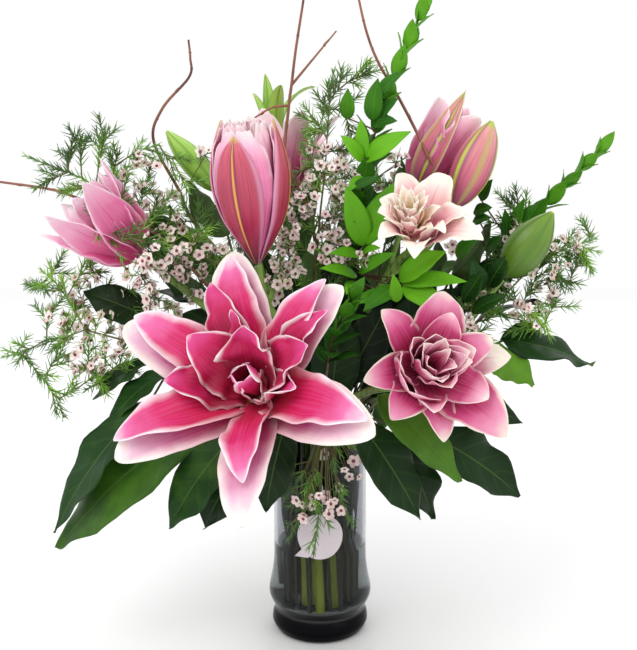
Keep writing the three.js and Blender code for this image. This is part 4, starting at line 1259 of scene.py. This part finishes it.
def add_waxflower(key, seat, route, tips, blossoms, bare=0.3, cluster=(3, 3, 4)):
    """A sprig: its main twig, a feathery shoot to each tip and stalked blossoms at each place."""
    trunk = stem_line(seat, route)
    lines, feathered, knots = [trunk], [], []
    for tip in tips:
        shoot = shoot_to(lines, tip)
        lines.append(shoot)
        feathered.append(shoot)
        for share in (0.4, 0.58, 0.76):
            spot = shoot[int(share * (len(shoot) - 1))]
            ahead = (shoot[-1] - shoot[-3]).normalized()
            side = square_to(ahead, random.uniform(0, 6.28))
            end = spot + (ahead * 0.8 + side * 0.6) * random.uniform(15, 26)
            feathered.append([spot, spot.lerp(end, 0.5), end])
    bm = bmesh.new()
    rods = [(trunk, 1.6, 0.8)] + [(line, 0.75, 0.4) for line in feathered]
    stalks, places = [], []
    outwards = -0.75 if seat[1] < 2 else 0.75
    for place in blossoms:
        centre = Vector(place)
        for k in range(random.choice(cluster)):
            spot = centre + Vector([random.uniform(-9, 9) * min(k, 1) for _ in range(3)])
            spot.y += random.uniform(-8, 8)
            start = nearest(lines + knots, spot - Vector((0, 0, 6)))
            knots.append([start.lerp(spot, 0.6)])
            stalks.append([start, start.lerp(spot, 0.5), spot])
            out = ((spot - start).normalized() * 0.4 + Vector((spot.x * 0.003, outwards, 0.3))).normalized()
            out = (out + Vector([random.uniform(-0.5, 0.5) for _ in range(3)])).normalized()
            size = random.uniform(0.7, 1.1)
            places.append(standing(spot, out, (size, size, size), random.uniform(0, 1.2)))
    add_rods(bm, rods + [(stalk, 0.45, 0.4) for stalk in stalks], 4)
    needles = [place for line in feathered for place in needles_along(line, bare)]
    short_stalks = [stalk for stalk in stalks if (stalk[0] - stalk[2]).length < 30]
    needles += [place for stalk in short_stalks for place in needles_along(stalk, 0.2, 5)]
    add_copies(bm, needle, needles)
    add_copies(bm, blossom, places)
    looks = [wax_twig, needle_green, wax_petal, wax_cup]
    finish(f"waxflower_sprig_{key}", bm, looks, "waxflower", [f"waxflower_{key}"], smooth=False)


add_waxflower("upper_left", (-2, 0), [(-28, -6, 68), (-68, -12, 128), (-131, -6, 160)], [
    (-269, -5, 458), (-234, 0, 460), (-229, 5, 473), (-220, -5, 474), (-194, 0, 484), (-204, 10, 476),
    (-180, -20, 463), (-250, -15, 437), (-228, -25, 428), (-149, 5, 469), (-136, 10, 451), (-121, 5, 432),
    (-202, -48, 417), (-179, -62, 381), (-192, -55, 406), (-168, -40, 419), (-183, -10, 432),
    (-159, 10, 441), (-107, 0, 404), (-157, -55, 389), (-142, -15, 414), (-124, -10, 405), (-182, 10, 451),
    (-151, -40, 401), (-105, 0, 381), (-114, -20, 382), (-97, 10, 362), (-141, -50, 375),
], [
    (-168, 0, 455), (-158, 5, 450), (-164, -5, 431), (-172, 0, 433), (-149, 0, 424), (-138, 5, 425),
    (-155, -5, 406), (-143, 0, 407), (-133, -45, 384), (-125, -50, 375), (-145, -60, 381), (-150, -62, 374),
    (-130, -52, 368), (-159, -60, 365), (-146, -62, 363), (-124, -48, 358), (-135, -55, 351),
    (-111, -30, 368), (-120, -35, 349), (-160, -55, 346), (-150, -55, 344), (-145, -50, 328),
    (-154, -50, 330), (-109, -25, 335), (-117, -30, 334), (-130, -40, 323), (-149, -50, 316),
    (-118, -25, 378), (-106, -20, 350), (-128, -20, 396), (-103, 10, 464), (-92, 15, 451), (-98, 0, 372),
    (-140, -40, 395), (-121, -40, 364), (-170, -50, 353),
])
add_waxflower("left", (-5, -1), [(-40, -15, 28), (-110, -19, 58), (-185, -15, 79)], [
    (-260, -10, 355), (-267, -15, 336), (-261, 5, 341), (-254, -20, 290), (-296, -15, 273), (-282, -5, 276),
    (-256, -25, 253), (-243, -25, 235), (-232, -10, 240), (-196, -20, 260), (-247, 10, 357), (-211, 0, 361),
    (-257, 0, 315), (-232, -20, 299), (-203, -30, 249), (-187, -20, 266), (-225, 10, 323), (-196, 10, 333),
    (-175, 0, 325), (-242, -20, 276), (-223, 10, 280), (-178, -10, 293),
], [
    (-214, 0, 360), (-234, 0, 346), (-221, -5, 344), (-210, -10, 348), (-248, -10, 334), (-251, -10, 318),
    (-239, -15, 314), (-231, -10, 325), (-218, -15, 316), (-207, -20, 305), (-198, -20, 297),
    (-212, -25, 290), (-199, -25, 284), (-226, -25, 277), (-219, -25, 268), (-208, -30, 272),
    (-225, -25, 262), (-204, -25, 259), (-185, -25, 280), (-194, -15, 310), (-224, -15, 302),
    (-237, -15, 289), (-180, -20, 295), (-191, 0, 325),
])
add_waxflower("centre", (0, 0), [(-4, -8, 78), (-2, -10, 158), (5, -10, 228)], [
    (12, 0, 534), (19, 5, 520), (-7, 0, 492), (-18, 10, 471), (7, 5, 502), (38, 15, 532), (45, 5, 532),
    (2, -5, 482), (23, 10, 501), (30, 20, 479), (-14, -5, 450), (-2, -10, 428), (23, -5, 464),
    (-19, 15, 427), (14, -15, 405), (27, -20, 392), (-9, 0, 395), (-28, -10, 382), (5, -20, 364),
    (33, 10, 427), (-47, 5, 372), (23, -30, 351), (-9, -25, 346), (-30, 0, 411),
], [
    (-38, -25, 401), (-22, -25, 394), (-25, -20, 401), (-16, -20, 410), (-7, -20, 414), (-22, -15, 417),
    (-33, -30, 372), (-25, -30, 372), (-28, -35, 360), (-22, -35, 353), (-40, -30, 357), (-37, -35, 334),
    (-38, -35, 344), (1, -10, 460), (-1, -12, 452), (9, -8, 465), (7, -15, 446), (19, -12, 455),
    (17, -14, 447), (11, -18, 435), (14, -20, 428), (-10, -10, 440), (16, -20, 411), (5, -22, 406),
    (25, -14, 440), (11, -26, 387), (1, -26, 385), (16, -28, 382), (2, -30, 370), (6, -32, 364),
    (20, -34, 359), (42, -34, 363), (71, 0, 450), (-29, -28, 385), (-33, -26, 390), (-45, -30, 342),
    (-9, 5, 464), (-15, -10, 428),
])
add_waxflower("right", (5, -1), [(40, -9, 33), (110, 0, 78), (163, 14, 128)], [
    (261, 10, 382), (257, 15, 387), (248, 0, 370), (237, 0, 339), (234, 10, 342), (211, -15, 309),
    (210, -10, 300), (180, 20, 425), (175, 15, 413), (172, 20, 394), (225, -5, 325), (198, 0, 334),
    (182, -10, 326), (166, -20, 318), (223, 10, 360), (190, -20, 304), (156, -25, 309), (138, -20, 323),
    (171, 10, 362), (151, 0, 339), (192, 20, 371), (241, 5, 355), (208, 5, 348), (147, -30, 296),
    (127, -35, 302), (176, 10, 343),
], [
    (235, 5, 379), (244, 5, 367), (216, 5, 375), (187, 10, 393), (200, 0, 354), (218, 0, 349),
    (218, -5, 332), (206, -10, 321), (192, -15, 320), (146, -25, 330), (125, -35, 310), (133, -35, 308),
    (127, -38, 294), (135, -38, 293), (155, -35, 292), (240, 8, 373), (211, 8, 381), (212, 0, 341),
    (226, 3, 355), (200, -15, 310), (178, -20, 313), (143, -30, 301), (168, -10, 331), (166, 10, 376),
    (126, 15, 376), (179, 5, 372),
])
hanging = [(-6, -62, 97), (-29, -55, 109), (26, -60, 130), (-33, -58, 149), (-14, -64, 151), (18, -66, 193)]
add_waxflower(
    "front",
    (1, -3),
    [(0, -18, 9), (-2, -30, 2), (-4, -32, -18)],
    hanging,
    [
        (3, -56, 189), (34, -50, 187), (22, -54, 179), (27, -52, 168), (17, -56, 161), (-1, -64, 158),
        (-16, -64, 147), (8, -66, 140), (-15, -62, 135), (-7, -64, 153), (13, -62, 150), (5, -64, 153),
        (19, -58, 141), (-21, -56, 150),
    ],
    0.62,
    (1, 1, 2),
)
back_tips = [(random.uniform(-90, 90), random.uniform(84, 118), random.uniform(320, 470)) for _ in range(24)]
back_blossoms = [
    (random.uniform(-80, 80), random.uniform(88, 112), random.uniform(320, 450)) for _ in range(34)
]
add_waxflower("back", (2, 2), [(2, 30, 60), (0, 60, 130), (-4, 70, 190)], back_tips, back_blossoms)
for spare in (needle, blossom):
    bpy.data.meshes.remove(spare)

# ---------- Curly willow ----------
# Bare twisting twigs with red-brown bark and a swelling at each old bud.
bark, tree, shader = new_material("willow_bark", roughness=0.5)
grain = texture(tree, "Noise", 180, stretch=(1, 1, 0.25), Detail=5)
blotch = texture(tree, "Noise", 18, Detail=2)
brown = ramp(
    tree, blotch.outputs[0], [(0.35, srgb(122, 66, 52)), (0.55, srgb(150, 92, 68)), (0.7, srgb(98, 62, 52))]
)
feed(
    tree,
    shader.inputs["Base Color"],
    mixed(tree, step(tree, grain.outputs[0], 0.5, 0.7), brown, srgb(84, 50, 42)),
)
bump(tree, shader, grain.outputs[0], 0.35, 0.0006)
TWIGS = {
    "left": (
        (-3, 1),
        [
            (-16, 0, 78), (-97, 12, 168), (-116, 12, 206), (-138, 10, 251), (-128, 4, 280), (-102, 0, 308),
            (-100, -4, 324), (-101, -6, 340),
        ],
        [],
    ),
    "fork": (
        (-1, 1),
        [
            (-4, -2, 78), (2, 4, 151), (-12, -8, 206), (-26, -10, 233), (-23, -6, 278), (-20, -6, 300),
            (-16, -6, 331), (-9, -6, 374), (-4, -6, 409),
        ],
        [[(-20, -6, 300), (-1, -1, 323), (21, 2, 349)], [(-23, -6, 282), (-38, -6, 280), (-54, -6, 271)]],
    ),
    "right": (
        (3, 1),
        [
            (12, 2, 78), (38, -2, 178), (91, -11, 206), (78, -11, 242), (55, -6, 287), (35, -6, 320),
            (24, -6, 347), (16, -6, 379), (9, -6, 409),
        ],
        [],
    ),
    "side": (
        (-5, 1),
        [
            (-30, 2, 58), (-80, 4, 118), (-130, 6, 168), (-202, 9, 199), (-231, 14, 207), (-273, 14, 213),
            (-287, 14, 216),
        ],
        [],
    ),
}
for key, (seat, route, forks) in TWIGS.items():
    rods = [(stem_line(seat, route, 10), 2.2, 1.0)]
    rods += [(smooth_line([above(seat, offset) for offset in fork], 8), 1.3, 0.7) for fork in forks]
    for line, foot, tip in list(rods):
        for i in range(12, len(line) - 3, 9):
            bud = line[i] + square_to((line[i + 1] - line[i]).normalized(), i) * 1.2
            rods.append(([line[i], bud.lerp(line[i + 2], 0.3), bud.lerp(line[i + 3], 0.6)], 1.5, 0.5))
    finish_rods(f"willow_twig_{key}", rods, 8, bark, "willow", [f"willow_{key}"])
